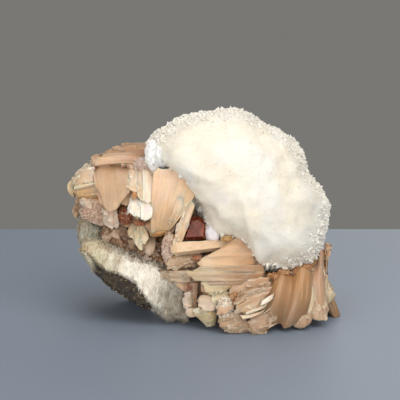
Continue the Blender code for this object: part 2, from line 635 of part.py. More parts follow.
def build_all():
    """All the nodes, each cut clear of the ones that were built before it."""
    ball = [ball_cutter()]
    floor = [floor_block()]
    upper = (UPPER_SHEAVES, UPPER_LUMPS, UPPER_GROWTHS, UPPER_SKIRTS)
    lower = (LOWER_SHEAVES, LOWER_LUMPS, {}, LOWER_SKIRTS)
    back = ({}, BACK_LUMPS, {}, BACK_SKIRTS)
    hollow = ({}, HOLLOW_LUMPS, HOLLOW_GROWTHS, {})
    crust_space = crust_solids(GAP_MM)
    bar_space = sheaf(BAR, 0, GAP_MM)
    red_space = [heulandite_solid(GAP_MM)]
    tuft_space = [spiny_lump(row, TUFT_SPINE_MM, GAP_MM) for row in TUFT_LUMPS.values()]
    upper_space = cluster(*upper, GAP_MM)
    lower_space = cluster(*lower, GAP_MM)

    build("scolecite_ball", [spiny_ball()], [])
    tuft = [spiny_lump(row, TUFT_SPINE_MM) for row in TUFT_LUMPS.values()]
    build("scolecite_tuft", tuft, ball)
    build("heulandite_crystal", [heulandite_solid()], ball)
    build("stilbite_bar", sheaf(BAR, 0), ball + red_space)
    build("fibrous_crust", crust_solids(), ball + floor)
    basalt = roughened(basalt_slab(), 0.9, 3.0, 1)
    build("basalt_matrix", [basalt], crust_space + floor)
    small = ball + bar_space + red_space + tuft_space + crust_space
    build("stilbite_upper_cluster", cluster(*upper), small)
    build("stilbite_lower_cluster", cluster(*lower), small + upper_space + floor)
    build("stilbite_back_cluster", cluster(*back), ball + crust_space + upper_space + lower_space + floor)
    build("hollow_crystals", cluster(*hollow), ball + crust_space + upper_space + lower_space + red_space)


for old in list(bpy.data.objects):
    bpy.data.objects.remove(old)
build_all()
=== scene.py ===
"""Scolecite on stilbite: the looks of the specimen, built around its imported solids.

Places are in millimetres as (across, up, deep), the way the group is seen from the front and a little
above: deep runs away from the viewer. place() turns them into upright axes, still in millimetres, and
write_piece() writes the points in metres. Colours are linear.
"""

import math
import random
from collections import namedtuple

import bmesh
import bpy
import numpy as np
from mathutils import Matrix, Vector
from mathutils.bvhtree import BVHTree


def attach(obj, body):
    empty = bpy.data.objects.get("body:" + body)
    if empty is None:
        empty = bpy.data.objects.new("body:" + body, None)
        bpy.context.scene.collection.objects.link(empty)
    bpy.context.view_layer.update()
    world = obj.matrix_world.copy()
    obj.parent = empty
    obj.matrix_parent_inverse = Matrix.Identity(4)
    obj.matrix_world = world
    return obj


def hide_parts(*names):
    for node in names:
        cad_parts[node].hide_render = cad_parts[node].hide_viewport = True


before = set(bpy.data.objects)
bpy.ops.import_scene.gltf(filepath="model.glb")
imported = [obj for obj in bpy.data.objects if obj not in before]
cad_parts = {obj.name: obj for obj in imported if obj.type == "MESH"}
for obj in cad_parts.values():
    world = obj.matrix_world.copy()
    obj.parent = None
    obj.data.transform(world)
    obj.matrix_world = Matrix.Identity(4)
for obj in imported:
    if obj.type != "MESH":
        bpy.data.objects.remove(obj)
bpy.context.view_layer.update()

MM = 0.001
LEAN = math.radians(12.0)
VIEW_MM = 416.7
MIDDLE_MM = np.array((-2.25, 0.1, 43.4))

# The scolecite ball: its middle, its outline from the right and round over the top, and its depth
BALL_MIDDLE = np.array((14.2, 3.8, 0.0))
BALL_OUTLINE = np.array((
    (48.6, -2.0), (47.1, 1.1), (44.3, 5.3), (40.5, 9.8), (37.7, 17.6), (35.4, 22.5), (31.9, 24.4),
    (24.8, 27.8), (19.1, 31.9), (11.3, 34.1), (4.1, 33.0), (-2.8, 31.9), (-8.3, 30.0), (-16.1, 25.9),
    (-19.6, 22.2), (-20.2, 17.0), (-14.0, 12.5), (-7.0, 7.5), (-4.5, 2.0), (-1.8, -2.5), (1.0, -8.0),
    (2.8, -14.6), (12.0, -15.5), (17.5, -17.5), (20.5, -22.5), (23.3, -27.6), (28.1, -27.0), (34.1, -27.4),
    (38.5, -25.2), (43.4, -24.0), (45.3, -19.7), (46.2, -14.6), (47.6, -8.0),
))
BALL_FRONT = 27.0
BALL_BACK = 28.0
BALL_SQUARENESS = 2.4

# Swellings and dents on the ball's front: place, radius, and height (a dent is below zero)
BALL_RELIEF = {
    "flank": ((-1.0, 6.0, -20.0), 5.5, 2.6),
    "valley": ((4.4, -3.6, -22.0), 3.4, -0.8),
    "lobe": ((1.8, 0.0, -21.0), 3.2, 1.4),
    "second_valley": ((5.0, -8.5, -22.0), 3.6, -0.9),
    "upper_swelling": ((6.0, 22.0, -16.0), 12.0, 1.2),
    "front_swelling": ((20.0, 2.0, -27.0), 13.0, 1.5),
    "lower_swelling": ((36.0, -14.0, -16.0), 10.0, 1.4),
    "lower_lip": ((20.0, -20.0, -18.0), 8.0, 1.2),
}

Sheaf = namedtuple("Sheaf", "root tip facing root_width tip_width thickness tone")
Skirt = namedtuple("Skirt", "middle radii start_deg end_deg count top bottom thickness seed")
Lump = namedtuple("Lump", "middle radii rough")
Druse = namedtuple("Druse", "middle radii count size light dark rough", defaults=(0.2,))
Blade = namedtuple("Blade", "ribs depths tone plate step ragged turn thick", defaults=((0.0, 0.0), 3.0))
SheafFinish = namedtuple("SheafFinish", "tone thick plate step ragged", defaults=(2.2, 0.16, 0.7))
Cluster = namedtuple("Cluster", "name blades sheaves skirts skirt_tone druses flakes origin seed")

# Colours of the stilbite: at a crystal's root, at its tip, and of the painted highlight along its rim
TONES = {
    "peach": ((0.468, 0.297, 0.18), (0.504, 0.351, 0.216), (0.646, 0.503, 0.361)),
    "fan": ((0.626, 0.432, 0.259), (0.713, 0.508, 0.335), (0.784, 0.625, 0.466)),
    "pale": ((0.672, 0.483, 0.326), (0.792, 0.605, 0.429), (0.84, 0.714, 0.557)),
    "brow": ((0.42, 0.25, 0.16), (0.62, 0.44, 0.29), (0.74, 0.58, 0.43)),
    "light": ((0.58, 0.41, 0.27), (0.72, 0.55, 0.39), (0.80, 0.67, 0.52)),
    "bright": ((0.72, 0.56, 0.42), (0.80, 0.68, 0.55), (0.86, 0.78, 0.68)),
    "cream": ((0.60, 0.46, 0.28), (0.66, 0.54, 0.35), (0.74, 0.66, 0.48)),
    "ledge": ((0.66, 0.57, 0.40), (0.70, 0.64, 0.47), (0.78, 0.74, 0.60)),
    "pearl": ((0.718, 0.607, 0.497), (0.818, 0.744, 0.651), (0.883, 0.835, 0.768)),
    "ochre": ((0.48, 0.32, 0.17), (0.56, 0.34, 0.14), (0.62, 0.44, 0.26)),
    "amber": ((0.50, 0.29, 0.12), (0.44, 0.22, 0.07), (0.56, 0.36, 0.17)),
    "brown": ((0.36, 0.20, 0.11), (0.40, 0.25, 0.15), (0.46, 0.32, 0.21)),
    "rose": ((0.46, 0.277, 0.173), (0.534, 0.366, 0.242), (0.634, 0.494, 0.343)),
    "boat": ((0.44, 0.30, 0.18), (0.60, 0.45, 0.31), (0.76, 0.64, 0.50)),
    "foot": ((0.391, 0.251, 0.153), (0.428, 0.288, 0.186), (0.577, 0.437, 0.307)),
    "level": ((0.42, 0.24, 0.14), (0.48, 0.37, 0.24), (0.58, 0.49, 0.34)),
    "upper_level": ((0.621, 0.391, 0.241), (0.644, 0.46, 0.287), (0.704, 0.572, 0.396)),
    "smoky": ((0.42, 0.29, 0.19), (0.50, 0.38, 0.27), (0.56, 0.45, 0.33)),
    # The waxy tone's dark tip colour, at the lower end of its blades, is partly its own brown and partly
    # painted shade
    "waxy": ((0.475, 0.273, 0.131), (0.269, 0.165, 0.09), (0.401, 0.276, 0.175)),
    "olive": ((0.40, 0.33, 0.19), (0.52, 0.45, 0.29), (0.62, 0.56, 0.40)),
    "grey": ((0.50, 0.39, 0.28), (0.60, 0.48, 0.37), (0.76, 0.66, 0.55)),
    "pink": ((0.66, 0.46, 0.32), (0.72, 0.54, 0.40), (0.78, 0.63, 0.49)),
}

# Blades of the upper cluster. A rib runs from a crystal's root over its middle to its tip: (across, up) of
# the three. The ribs lie side by side. Then come the depths of the three, the tone, the width of the
# layered plates, how far they step, how uneven the tip is, how far the first and the last rib, or each of
# them, is pushed back, and the thickness, all in mm.
UPPER_BLADES = {
    "boat_rim": Blade((
        (-47.2, 1.0, -47.6, 4.0, -47.8, 7.8), (-48.2, 1.4, -49.0, 4.0, -48.3, 7.6),
        (-48.8, 2.2, -49.7, 4.4, -48.8, 7.2),
    ), (-5.0, -6.0, -5.0), "cream", 3.0, 0.02, 0.2),
    "boat_face": Blade((
        (-47.6, 5.0, -44.5, 6.0, -39.6, 6.8), (-48.0, 5.7, -45.4, 8.0, -39.6, 9.4),
        (-48.1, 6.2, -45.8, 9.7, -39.6, 11.9), (-48.1, 6.7, -45.4, 11.0, -39.8, 14.0),
    ), (-8.0, -10.2, -11.4), "boat", 1.1, 0.14, 0.3, (0.0, 3.5)),
    "ledge": Blade((
        (-36.6, 8.1, -42.0, 6.6, -47.3, 5.2), (-36.8, 7.0, -42.2, 5.8, -47.7, 4.6),
        (-37.0, 5.9, -42.0, 4.9, -47.4, 3.8),
    ), (-11.6, -12.2, -11.0), "ledge", 2.4, 0.05, 0.3, (2.0, 0.6), 2.4),
    "boat_side": Blade((
        (-36.8, 6.0, -42.0, 4.9, -47.5, 3.7), (-36.8, 4.0, -42.0, 3.2, -47.2, 2.8),
        (-36.8, 2.0, -42.0, 1.6, -46.4, 1.4), (-36.8, 0.0, -41.4, -0.2, -45.2, 0.2),
    ), (-11.0, -10.6, -9.0), "ochre", 0.9, 0.12, 0.5, (0.0, 2.5)),
    "tongue": Blade((
        (-40.6, 13.4, -39.8, 9.0, -39.2, 4.6), (-39.0, 15.0, -38.0, 8.4, -37.3, 1.4),
        (-37.2, 16.2, -36.8, 7.6, -36.3, -2.6), (-35.2, 16.8, -35.0, 7.0, -34.8, -4.5),
        (-33.2, 16.9, -33.1, 7.0, -33.0, -4.7), (-31.2, 16.6, -31.2, 7.4, -31.2, -3.7),
        (-29.4, 16.2, -29.4, 7.8, -29.6, -1.0), (-27.6, 15.6, -27.8, 8.2, -27.9, 1.0),
        (-26.0, 14.8, -26.4, 8.6, -26.4, 2.6),
    ), (-3.6, -14.2, -16.6), "peach", 4.2, 0.05, 0.35, (1.6, 0.3)),
    "brow": Blade((
        (-20.6, 17.2, -29.0, 17.8, -37.2, 17.0), (-20.8, 15.8, -29.0, 16.4, -38.8, 15.6),
        (-21.0, 14.4, -29.0, 15.0, -40.0, 14.0), (-21.2, 13.4, -29.0, 13.9, -39.8, 12.8),
    ), (-10.5, -13.2, -10.6), "brow", 1.2, 0.12, 0.5, (3.0, 0.3)),
    "tongue_side": Blade((
        (-31.4, 9.4, -30.6, 4.0, -29.8, -1.8), (-29.6, 9.4, -28.9, 4.0, -28.4, -2.2),
        (-27.8, 9.2, -27.5, 4.0, -27.1, -2.6), (-26.2, 8.8, -26.2, 4.0, -25.6, -1.0),
        (-25.0, 8.0, -25.2, 4.4, -24.8, 0.8),
    ), (-9.5, -12.8, -14.6), "peach", 1.6, 0.10, 0.6),
    "dome": Blade((
        (-20.3, 21.2, -26.4, 21.2, -32.4, 19.6), (-20.3, 20.2, -28.0, 20.3, -36.4, 17.9),
        (-20.3, 18.8, -27.6, 18.8, -35.6, 16.8), (-20.4, 17.4, -27.0, 17.3, -33.4, 16.0),
        (-20.6, 16.2, -26.4, 15.9, -31.4, 15.4),
    ), (-9.8, -10.0, -8.0), "brown", 2.6, 0.06, 0.3, (9.0, 0.0)),
    "light_left": Blade((
        (-26.8, 11.4, -27.0, 7.0, -27.0, 3.6), (-25.4, 12.0, -25.6, 7.0, -25.6, 2.8),
        (-24.0, 12.2, -24.4, 7.0, -24.2, 2.2), (-23.0, 12.0, -23.4, 6.8, -23.2, 1.4),
    ), (-11.0, -15.2, -17.0), "light", 1.3, 0.12, 0.9),
    "light_middle": Blade((
        (-23.6, 12.0, -23.6, 6.0, -23.6, 1.2), (-22.2, 12.4, -22.2, 6.0, -22.4, -0.2),
        (-20.0, 12.2, -20.2, 6.0, -20.4, -0.9),
    ), (-11.6, -15.8, -17.4), "light", 1.1, 0.10, 0.7),
    "light_right": Blade((
        (-21.6, 11.8, -21.4, 5.5, -21.4, -0.6), (-19.4, 11.4, -19.4, 5.0, -19.6, -1.4),
        (-16.8, 10.8, -17.0, 5.0, -17.4, -1.0),
    ), (-13.0, -16.6, -18.2), "bright", 1.6, 0.10, 0.5),
    "pearly_left": Blade((
        (-25.4, 2.4, -26.4, -1.6, -27.0, -4.6), (-24.4, 2.6, -25.0, -2.0, -25.4, -6.2),
        (-23.2, 2.4, -23.5, -2.6, -23.4, -7.0), (-21.4, 2.0, -21.6, -3.0, -21.4, -7.2),
    ), (-13.4, -18.4, -19.6), "pearl", 1.0, 0.2, 0.9),
    "pearly_right": Blade((
        (-22.4, 2.0, -22.2, -3.4, -22.0, -7.7), (-20.4, 2.0, -20.2, -3.6, -20.2, -8.3),
        (-17.8, 1.6, -17.9, -3.4, -18.2, -7.2),
    ), (-14.0, -19.4, -20.6), "pearl", 0.6, 0.18, 0.9),
    "fan": Blade((
        (-18.4, -12.6, -18.2, -1.0, -17.4, 11.0), (-17.7, -12.6, -16.8, -0.4, -15.9, 12.8),
        (-16.8, -12.2, -15.0, -0.2, -13.4, 12.8), (-15.8, -11.8, -13.2, 0.0, -11.0, 13.0),
        (-14.8, -11.6, -11.4, 0.2, -8.4, 13.6), (-13.8, -11.5, -9.6, 0.0, -6.0, 12.2),
        (-12.8, -11.4, -8.0, -0.8, -4.2, 9.2), (-12.0, -11.3, -6.6, -2.2, -2.6, 6.6),
        (-11.4, -11.1, -5.8, -4.2, -1.5, 2.6),
    ), (-15.4, -19.0, -17.2), "fan", 1.3, 0.12, 0.9, (0.6, -1.6)),
    "fan_step": Blade((
        (-11.9, -11.4, -10.4, -5.0, -8.2, 2.4), (-11.4, -11.2, -8.8, -4.2, -5.8, 4.8),
        (-10.8, -10.9, -7.4, -5.0, -3.8, 2.2),
    ), (-16.4, -19.8, -18.6), "fan", 1.1, 0.14, 1.2, thick=1.6),
    "strip": Blade((
        (-10.2, -17.0, -8.0, -9.4, -5.0, -1.0), (-8.8, -17.2, -6.2, -9.0, -3.2, 0.6),
        (-7.4, -17.2, -4.8, -10.0, -1.9, -1.6),
    ), (-18.4, -19.6, -20.6), "pale", 1.3, 0.12, 0.4, (0.0, 0.8)),
    "amber_end": Blade((
        (-19.0, -9.4, -18.9, -12.0, -18.3, -13.7), (-17.0, -9.8, -17.0, -12.4, -16.8, -14.0),
        (-15.0, -10.0, -15.0, -12.4, -14.8, -13.7), (-13.0, -10.4, -12.9, -11.8, -12.8, -12.7),
    ), (-14.6, -15.6, -13.8), "amber", 3.0, 0.03, 0.1, (0.5, 0.5)),
    "fan_heel": Blade((
        (-20.3, -8.6, -20.2, -10.0, -19.2, -12.0), (-18.4, -7.6, -18.6, -10.2, -18.2, -12.8),
    ), (-14.6, -16.0, -14.4), "brown", 3.0, 0.03, 0.2),
    "hanging_left": Blade((
        (-25.6, -8.8, -26.6, -10.8, -27.1, -12.8), (-24.2, -8.6, -25.4, -11.4, -26.2, -14.2),
        (-23.0, -8.6, -24.0, -12.0, -24.8, -15.4),
    ), (-9.0, -11.0, -12.4), "cream", 0.9, 0.16, 0.7, thick=2.0),
    "hanging_middle": Blade((
        (-24.4, -9.2, -24.4, -13.0, -24.2, -16.6), (-23.0, -8.6, -23.0, -13.6, -22.8, -17.8),
        (-22.0, -8.4, -22.0, -13.8, -21.4, -18.8),
    ), (-10.0, -12.6, -14.0), "cream", 0.9, 0.18, 0.8, thick=2.0),
    "hanging_right": Blade((
        (-22.6, -8.2, -22.0, -12.0, -21.4, -16.6), (-21.2, -8.0, -20.8, -12.0, -20.4, -16.8),
        (-20.4, -9.0, -19.6, -12.4, -19.3, -15.0),
    ), (-11.0, -13.4, -14.6), "cream", 1.0, 0.14, 0.5, thick=2.0),
    "hanging_tip": Blade((
        (-24.8, -14.0, -23.8, -16.6, -22.4, -19.0), (-23.4, -13.6, -22.4, -16.6, -21.5, -19.0),
    ), (-12.0, -14.0, -14.4), "cream", 1.5, 0.05, 0.3, thick=1.4),
    "rounded_blade": Blade((
        (-20.0, -13.4, -20.8, -17.0, -20.2, -20.4), (-18.4, -13.2, -18.8, -17.0, -18.8, -21.0),
        (-16.8, -13.4, -16.8, -16.8, -17.4, -20.0),
    ), (-9.0, -12.0, -12.6), "smoky", 2.0, 0.06, 0.2, (0.8, 0.8), 2.2),
    "under_left": Blade((
        (-44.6, 0.4, -44.6, -1.0, -43.6, -3.0), (-42.6, 0.4, -42.8, -2.2, -42.0, -5.0),
        (-40.4, 0.4, -40.8, -3.2, -40.2, -7.2), (-38.2, 0.4, -38.6, -4.0, -38.2, -8.2),
        (-36.4, 0.4, -36.6, -4.4, -36.2, -9.2),
    ), (-9.4, -9.6, -7.0), "pink", 1.6, 0.4, 1.2, (1.5, 0.0)),
    "under_middle": Blade((
        (-36.8, -3.0, -36.2, -6.4, -36.0, -9.6), (-34.8, -4.0, -34.6, -7.2, -34.2, -10.4),
        (-33.0, -4.0, -32.8, -7.4, -32.4, -10.9), (-31.4, -3.4, -31.0, -7.4, -30.8, -11.2),
    ), (-13.0, -12.6, -10.4), "pink", 1.4, 0.4, 1.2),
}

# Sheaves and skirts of sheaves that face other ways, as in the solids
UPPER_SHEAVES = (
    Sheaf((-30.0, 12.0, 2.0), (-41.0, 15.2, 1.0), (-0.2, 0.6, -0.8), 9.0, 6.0, 4.0, "peach"),
    Sheaf((-27.0, 10.0, 4.0), (-32.6, 18.6, 3.0), (0.0, 0.4, -0.9), 11.0, 9.0, 6.0, "peach"),
)
UPPER_SKIRTS = (
    Skirt((-27.0, 4.0, 4.0), (18.5, 11.5, 16.5), 40.0, 196.0, 5, 0.9, -0.85, 4.0, 3),
    Skirt((-25.0, 8.0, 4.0), (12.0, 10.0, 10.0), 60.0, 190.0, 3, 1.0, -0.1, 3.6, 4),
)

# Blades of the lower cluster: a level sheaf, broken blades under it, and waxy blades at the right
LOWER_BLADES = {
    "shelf_wedge": Blade((
        (1.0, -20.6, -5.0, -20.8, -11.0, -21.0), (0.8, -21.6, -5.4, -22.0, -12.2, -22.8),
        (0.0, -23.0, -6.0, -23.6, -13.6, -24.4), (-1.2, -24.8, -7.0, -25.2, -12.9, -26.2),
    ), (-14.0, -17.0, -17.6), "rose", 0.9, 0.22, 0.9, (1.0, 0.5)),
    "shelf_face": Blade((
        (-12.8, -13.2, -13.8, -17.0, -13.6, -22.8), (-11.4, -12.4, -12.2, -17.0, -12.0, -22.4),
        (-9.6, -13.0, -10.4, -17.0, -10.2, -21.6),
    ), (-16.0, -16.8, -16.0), "pink", 0.8, 0.3, 0.8, (1.5, 0.0)),
    "level_top": Blade((
        (18.0, -15.0, 13.6, -14.4, 9.8, -16.0), (18.8, -17.0, 12.6, -17.0, 7.0, -18.4),
        (19.6, -19.0, 11.6, -19.2, 3.6, -20.2), (20.2, -20.8, 10.8, -20.8, 1.2, -21.4),
        (20.6, -22.6, 10.0, -22.4, -0.4, -22.6), (20.8, -24.0, 9.8, -23.8, -1.7, -23.6),
        (20.8, -25.2, 10.0, -25.2, -0.8, -25.0),
    ), (-16.4, -20.8, -19.8), "upper_level", 1.5, 0.12, 0.9, (4.0, 0.0)),
    "level_middle": Blade((
        (23.4, -24.4, 11.0, -24.6, -0.6, -25.0), (24.0, -25.8, 11.0, -25.8, -2.2, -26.0),
        (24.4, -27.2, 11.0, -27.2, -3.8, -26.8),
    ), (-16.0, -20.6, -20.8), "level", 0.8, 0.2, 0.9),
    "level_lower": Blade((
        (24.2, -26.8, 10.0, -26.8, -5.4, -26.8), (23.6, -28.2, 9.6, -28.0, -5.0, -28.4),
        (22.8, -29.4, 9.4, -29.2, -3.8, -29.6), (21.4, -30.6, 9.6, -30.4, -2.0, -30.4),
    ), (-16.4, -21.2, -21.2), "level", 1.1, 0.16, 0.9),
    "level_under": Blade((
        (21.0, -30.0, 11.0, -30.2, 0.0, -30.4), (19.0, -31.6, 10.6, -31.6, 2.4, -31.8),
    ), (-15.8, -20.2, -20.2), "rose", 0.8, 0.16, 0.9, thick=2.0),
    "tan_back": Blade((
        (26.0, -29.0, 18.0, -29.8, 10.0, -30.8), (26.0, -32.0, 17.0, -33.0, 10.4, -34.6),
        (25.4, -35.0, 17.6, -36.0, 11.4, -38.4),
    ), (-17.0, -18.6, -17.0), "rose", 1.6, 0.14, 0.8),
    "cream_fan": Blade((
        (12.4, -31.4, 6.0, -31.1, -0.2, -30.9), (11.6, -32.6, 6.0, -32.6, 0.4, -32.8),
        (10.2, -33.8, 5.6, -34.2, 1.2, -34.6), (9.0, -35.0, 5.2, -35.5, 2.2, -35.5),
    ), (-17.4, -19.6, -20.0), "cream", 0.9, 0.28, 1.3, (0.0, 1.0), 2.4),
    "olive_plate": Blade((
        (11.0, -34.4, 7.0, -35.2, 3.2, -36.0), (10.4, -36.2, 7.0, -37.2, 3.2, -38.0),
        (9.0, -37.8, 6.6, -38.6, 4.6, -39.2),
    ), (-16.0, -18.4, -18.8), "cream", 0.9, 0.26, 1.2, (0.0, 0.5), 2.4),
    "grey_lump": Blade((
        (6.6, -38.0, 2.8, -35.8, -0.6, -36.2), (6.6, -39.0, 2.6, -37.8, -1.4, -38.0),
        (6.4, -40.2, 2.6, -39.8, -1.3, -39.6), (5.6, -41.4, 2.4, -41.6, -0.2, -41.2),
    ), (-16.8, -18.2, -17.4), "grey", 0.9, 0.28, 1.4, (0.6, 0.6)),
    "green_lump": Blade((
        (6.2, -41.4, 1.6, -41.2, -2.8, -41.8), (6.4, -43.2, 2.0, -43.2, -2.6, -43.4),
        (6.2, -45.0, 2.4, -45.2, -0.8, -45.0), (5.6, -46.9, 3.4, -47.0, 1.4, -46.6),
    ), (-14.2, -15.6, -13.8), "olive", 1.1, 0.28, 1.2, (0.0, 1.2)),
    "white_upper": Blade((
        (-2.4, -34.2, -4.6, -34.0, -6.2, -35.0), (-2.4, -37.0, -5.0, -36.8, -7.4, -37.4),
        (-2.8, -39.4, -5.0, -39.6, -7.3, -39.6), (-3.4, -40.8, -4.8, -41.0, -5.8, -40.7),
    ), (-12.6, -13.8, -12.6), "grey", 1.0, 0.26, 1.4, (0.5, 0.5)),
    "white_lower": Blade((
        (-0.6, -40.6, -4.0, -40.6, -6.9, -41.2), (-0.8, -43.2, -3.4, -43.8, -5.6, -43.0),
    ), (-12.4, -13.6, -12.4), "grey", 0.9, 0.26, 1.4, (0.3, 0.8)),
    "brown_wall": Blade((
        (-0.4, -31.0, -1.2, -36.0, -1.0, -42.2), (-3.4, -30.8, -3.4, -36.0, -3.4, -42.0),
    ), (-14.0, -13.6, -11.6), "brown", 1.6, 0.2, 0.5),
    "brown_blade": Blade((
        (-4.0, -31.0, -7.2, -31.0, -10.4, -30.6), (-4.2, -32.8, -7.0, -32.6, -9.6, -31.8),
        (-5.0, -34.2, -6.6, -33.8, -8.4, -32.8),
    ), (-14.0, -15.4, -14.6), "rose", 1.6, 0.1, 0.3, thick=1.4),
    "brown_band": Blade((
        (-3.8, -26.6, -9.0, -26.6, -16.0, -26.6), (-3.8, -28.4, -9.4, -28.2, -15.6, -28.2),
        (-3.4, -30.6, -9.0, -30.8, -13.4, -29.8),
    ), (-17.0, -16.4, -12.4), "smoky", 1.3, 0.2, 0.9),
    "tan_plate": Blade((
        (27.0, -32.6, 19.0, -34.6, 13.6, -38.6), (26.4, -34.2, 19.0, -36.8, 12.8, -40.4),
        (25.0, -36.4, 19.4, -39.0, 12.6, -42.0), (23.0, -39.2, 19.6, -41.2, 14.6, -42.6),
    ), (-20.0, -21.8, -21.0), "peach", 1.2, 0.22, 1.3),
    "ridge_bright": Blade((
        (27.7, -35.2, 25.0, -36.8, 22.6, -38.6), (27.4, -36.8, 25.0, -38.6, 22.4, -39.9),
    ), (-20.8, -22.8, -22.8), "bright", 0.5, 0.2, 0.6, thick=1.4),
    "ridge_upper": Blade((
        (25.4, -38.8, 21.0, -40.9, 16.8, -42.2), (24.4, -40.4, 20.4, -42.0, 16.6, -43.1),
    ), (-21.4, -23.0, -22.8), "bright", 0.5, 0.2, 0.7, thick=1.4),
    "ridge_lower": Blade((
        (24.6, -41.0, 20.0, -42.8, 15.0, -43.4), (23.4, -42.6, 19.4, -44.0, 15.6, -44.7),
    ), (-20.4, -22.4, -22.0), "pale", 0.6, 0.2, 0.6, thick=1.6),
    "foot": Blade((
        (28.4, -39.6, 23.0, -42.6, 17.6, -43.6), (29.2, -43.0, 23.6, -45.4, 16.8, -45.8),
        (28.2, -46.6, 23.0, -48.2, 17.4, -48.2), (25.2, -49.2, 22.6, -50.6, 19.2, -50.2),
    ), (-18.0, -20.2, -18.8), "foot", 1.3, 0.30, 1.5, (0.5, 1.6)),
    "foot_left": Blade((
        (17.0, -42.6, 12.0, -42.6, 7.6, -43.2), (17.4, -45.0, 11.6, -45.0, 6.1, -45.6),
        (18.2, -47.4, 12.0, -47.6, 6.8, -47.7), (18.6, -49.4, 13.0, -49.6, 9.0, -49.4),
    ), (-17.6, -19.6, -18.2), "foot", 1.2, 0.34, 1.5, (0.0, 1.4)),
    "waxy": Blade((
        (27.0, -29.6, 23.8, -36.0, 22.0, -43.0), (28.6, -28.2, 25.6, -37.0, 22.8, -46.6),
        (30.4, -27.2, 27.6, -37.4, 24.2, -48.2), (32.0, -26.9, 29.6, -37.4, 26.2, -48.4),
        (33.6, -27.4, 31.6, -37.6, 28.4, -47.0), (34.8, -28.0, 33.2, -38.0, 30.0, -46.4),
        (36.2, -26.8, 34.8, -37.8, 31.4, -48.4), (37.8, -25.2, 36.6, -37.2, 33.4, -48.4),
        (39.4, -24.9, 38.4, -37.0, 35.6, -46.8), (40.8, -26.0, 40.0, -36.8, 38.0, -45.0),
        (42.0, -28.0, 41.4, -36.8, 39.8, -43.6),
    ), (-12.8, -17.8, -17.0), "waxy", 2.4, 0.12, 0.7, (
        1.6, -0.2, -1.2, -0.7, 0.9, 2.0, 0.2, -0.3, 0.6, 1.5, 2.8,
    )),
    "smooth_toe": Blade((
        (35.3, -43.2, 35.0, -46.0, 35.8, -48.1), (37.6, -42.6, 37.8, -45.8, 38.0, -48.5),
        (39.8, -42.8, 40.1, -45.4, 39.8, -47.9), (41.4, -43.6, 41.6, -45.4, 41.0, -46.9),
    ), (-15.2, -16.2, -14.8), "rose", 0.7, 0.22, 0.7, (0.6, 1.0)),
    "pale_strip": Blade((
        (40.6, -30.4, 40.2, -37.0, 38.8, -41.6), (41.9, -31.2, 42.0, -37.0, 39.6, -43.2),
        (42.9, -32.0, 42.9, -37.4, 40.8, -43.8),
    ), (-11.4, -13.8, -14.2), "pale", 2.0, 0.06, 0.3, (0.0, 0.6), 2.4),
    "right_wall": Blade((
        (40.8, -26.4, 40.6, -33.0, 40.8, -43.4), (42.2, -25.2, 42.0, -33.0, 42.4, -44.8),
        (43.8, -24.0, 43.8, -33.0, 44.6, -45.7), (44.9, -19.6, 45.2, -32.4, 46.2, -45.5),
        (45.8, -18.0, 46.1, -32.0, 47.6, -44.2), (46.5, -20.0, 46.8, -32.0, 48.4, -41.6),
    ), (-5.0, -11.8, -12.4), "rose", 1.6, 0.10, 0.3, (-0.4, -0.2, 0.0, 0.7, 1.8, 3.6)),
    "right_backing": Blade((
        (38.0, -22.0, 38.0, -32.0, 39.0, -42.0), (42.0, -20.0, 42.0, -32.0, 43.0, -43.6),
        (45.8, -19.0, 46.2, -32.0, 46.8, -43.0), (46.4, -22.0, 47.2, -32.0, 47.8, -42.0),
    ), (-2.0, -7.6, -8.6), "waxy", 3.0, 0.10, 0.4, (0.0, 2.5)),
    "side_crystal": Blade((
        (46.4, -28.8, 46.8, -34.0, 47.4, -39.0), (47.4, -29.2, 48.8, -34.0, 48.4, -39.0),
        (48.4, -31.8, 50.0, -35.0, 49.6, -37.8), (49.2, -33.6, 50.7, -35.4, 50.6, -36.4),
    ), (-3.6, -7.0, -5.6), "cream", 2.0, 0.14, 0.3, (0.0, 1.5)),
}
LOWER_SKIRTS = (
    Skirt((24.0, -32.0, 3.0), (26.0, 14.0, 20.0), 0.0, 48.0, 3, 0.95, -0.9, 4.4, 7),
)
BACK_SKIRTS = (
    Skirt((13.0, -26.0, 12.0), (29.0, 15.0, 17.0), 22.0, 165.0, 6, 0.8, -0.9, 4.6, 11),
    Skirt((13.0, -18.0, 12.0), (24.0, 9.0, 13.0), 35.0, 160.0, 3, 1.0, -0.7, 3.6, 12),
)

# Patches of small crystals between the blades: their number, size in mm and colours
UPPER_DRUSES = {
    "crumbs_top": Druse(
        (-21.6, 13.4, -11.6), (3.2, 2.4, 2.0), 260, 0.7, (0.72, 0.58, 0.50), (0.55, 0.38, 0.30),
    ),
    "under": Druse((-37.4, -4.4, -6.8), (7.0, 4.4, 4.0), 700, 0.9, (0.74, 0.54, 0.42), (0.48, 0.29, 0.20)),
    "rust_deep": Druse(
        (-28.0, -5.4, -10.0), (2.8, 3.8, 2.4), 260, 0.8, (0.46, 0.18, 0.08), (0.20, 0.06, 0.03),
    ),
    "orange_bit": Druse(
        (-24.6, 1.5, -16.8), (0.8, 1.2, 0.8), 50, 0.5, (0.74, 0.38, 0.16), (0.45, 0.18, 0.07),
    ),
    "orange_foot": Druse(
        (-22.6, -8.6, -12.8), (2.6, 0.9, 1.0), 90, 0.5, (0.56, 0.24, 0.11), (0.26, 0.08, 0.04),
    ),
}
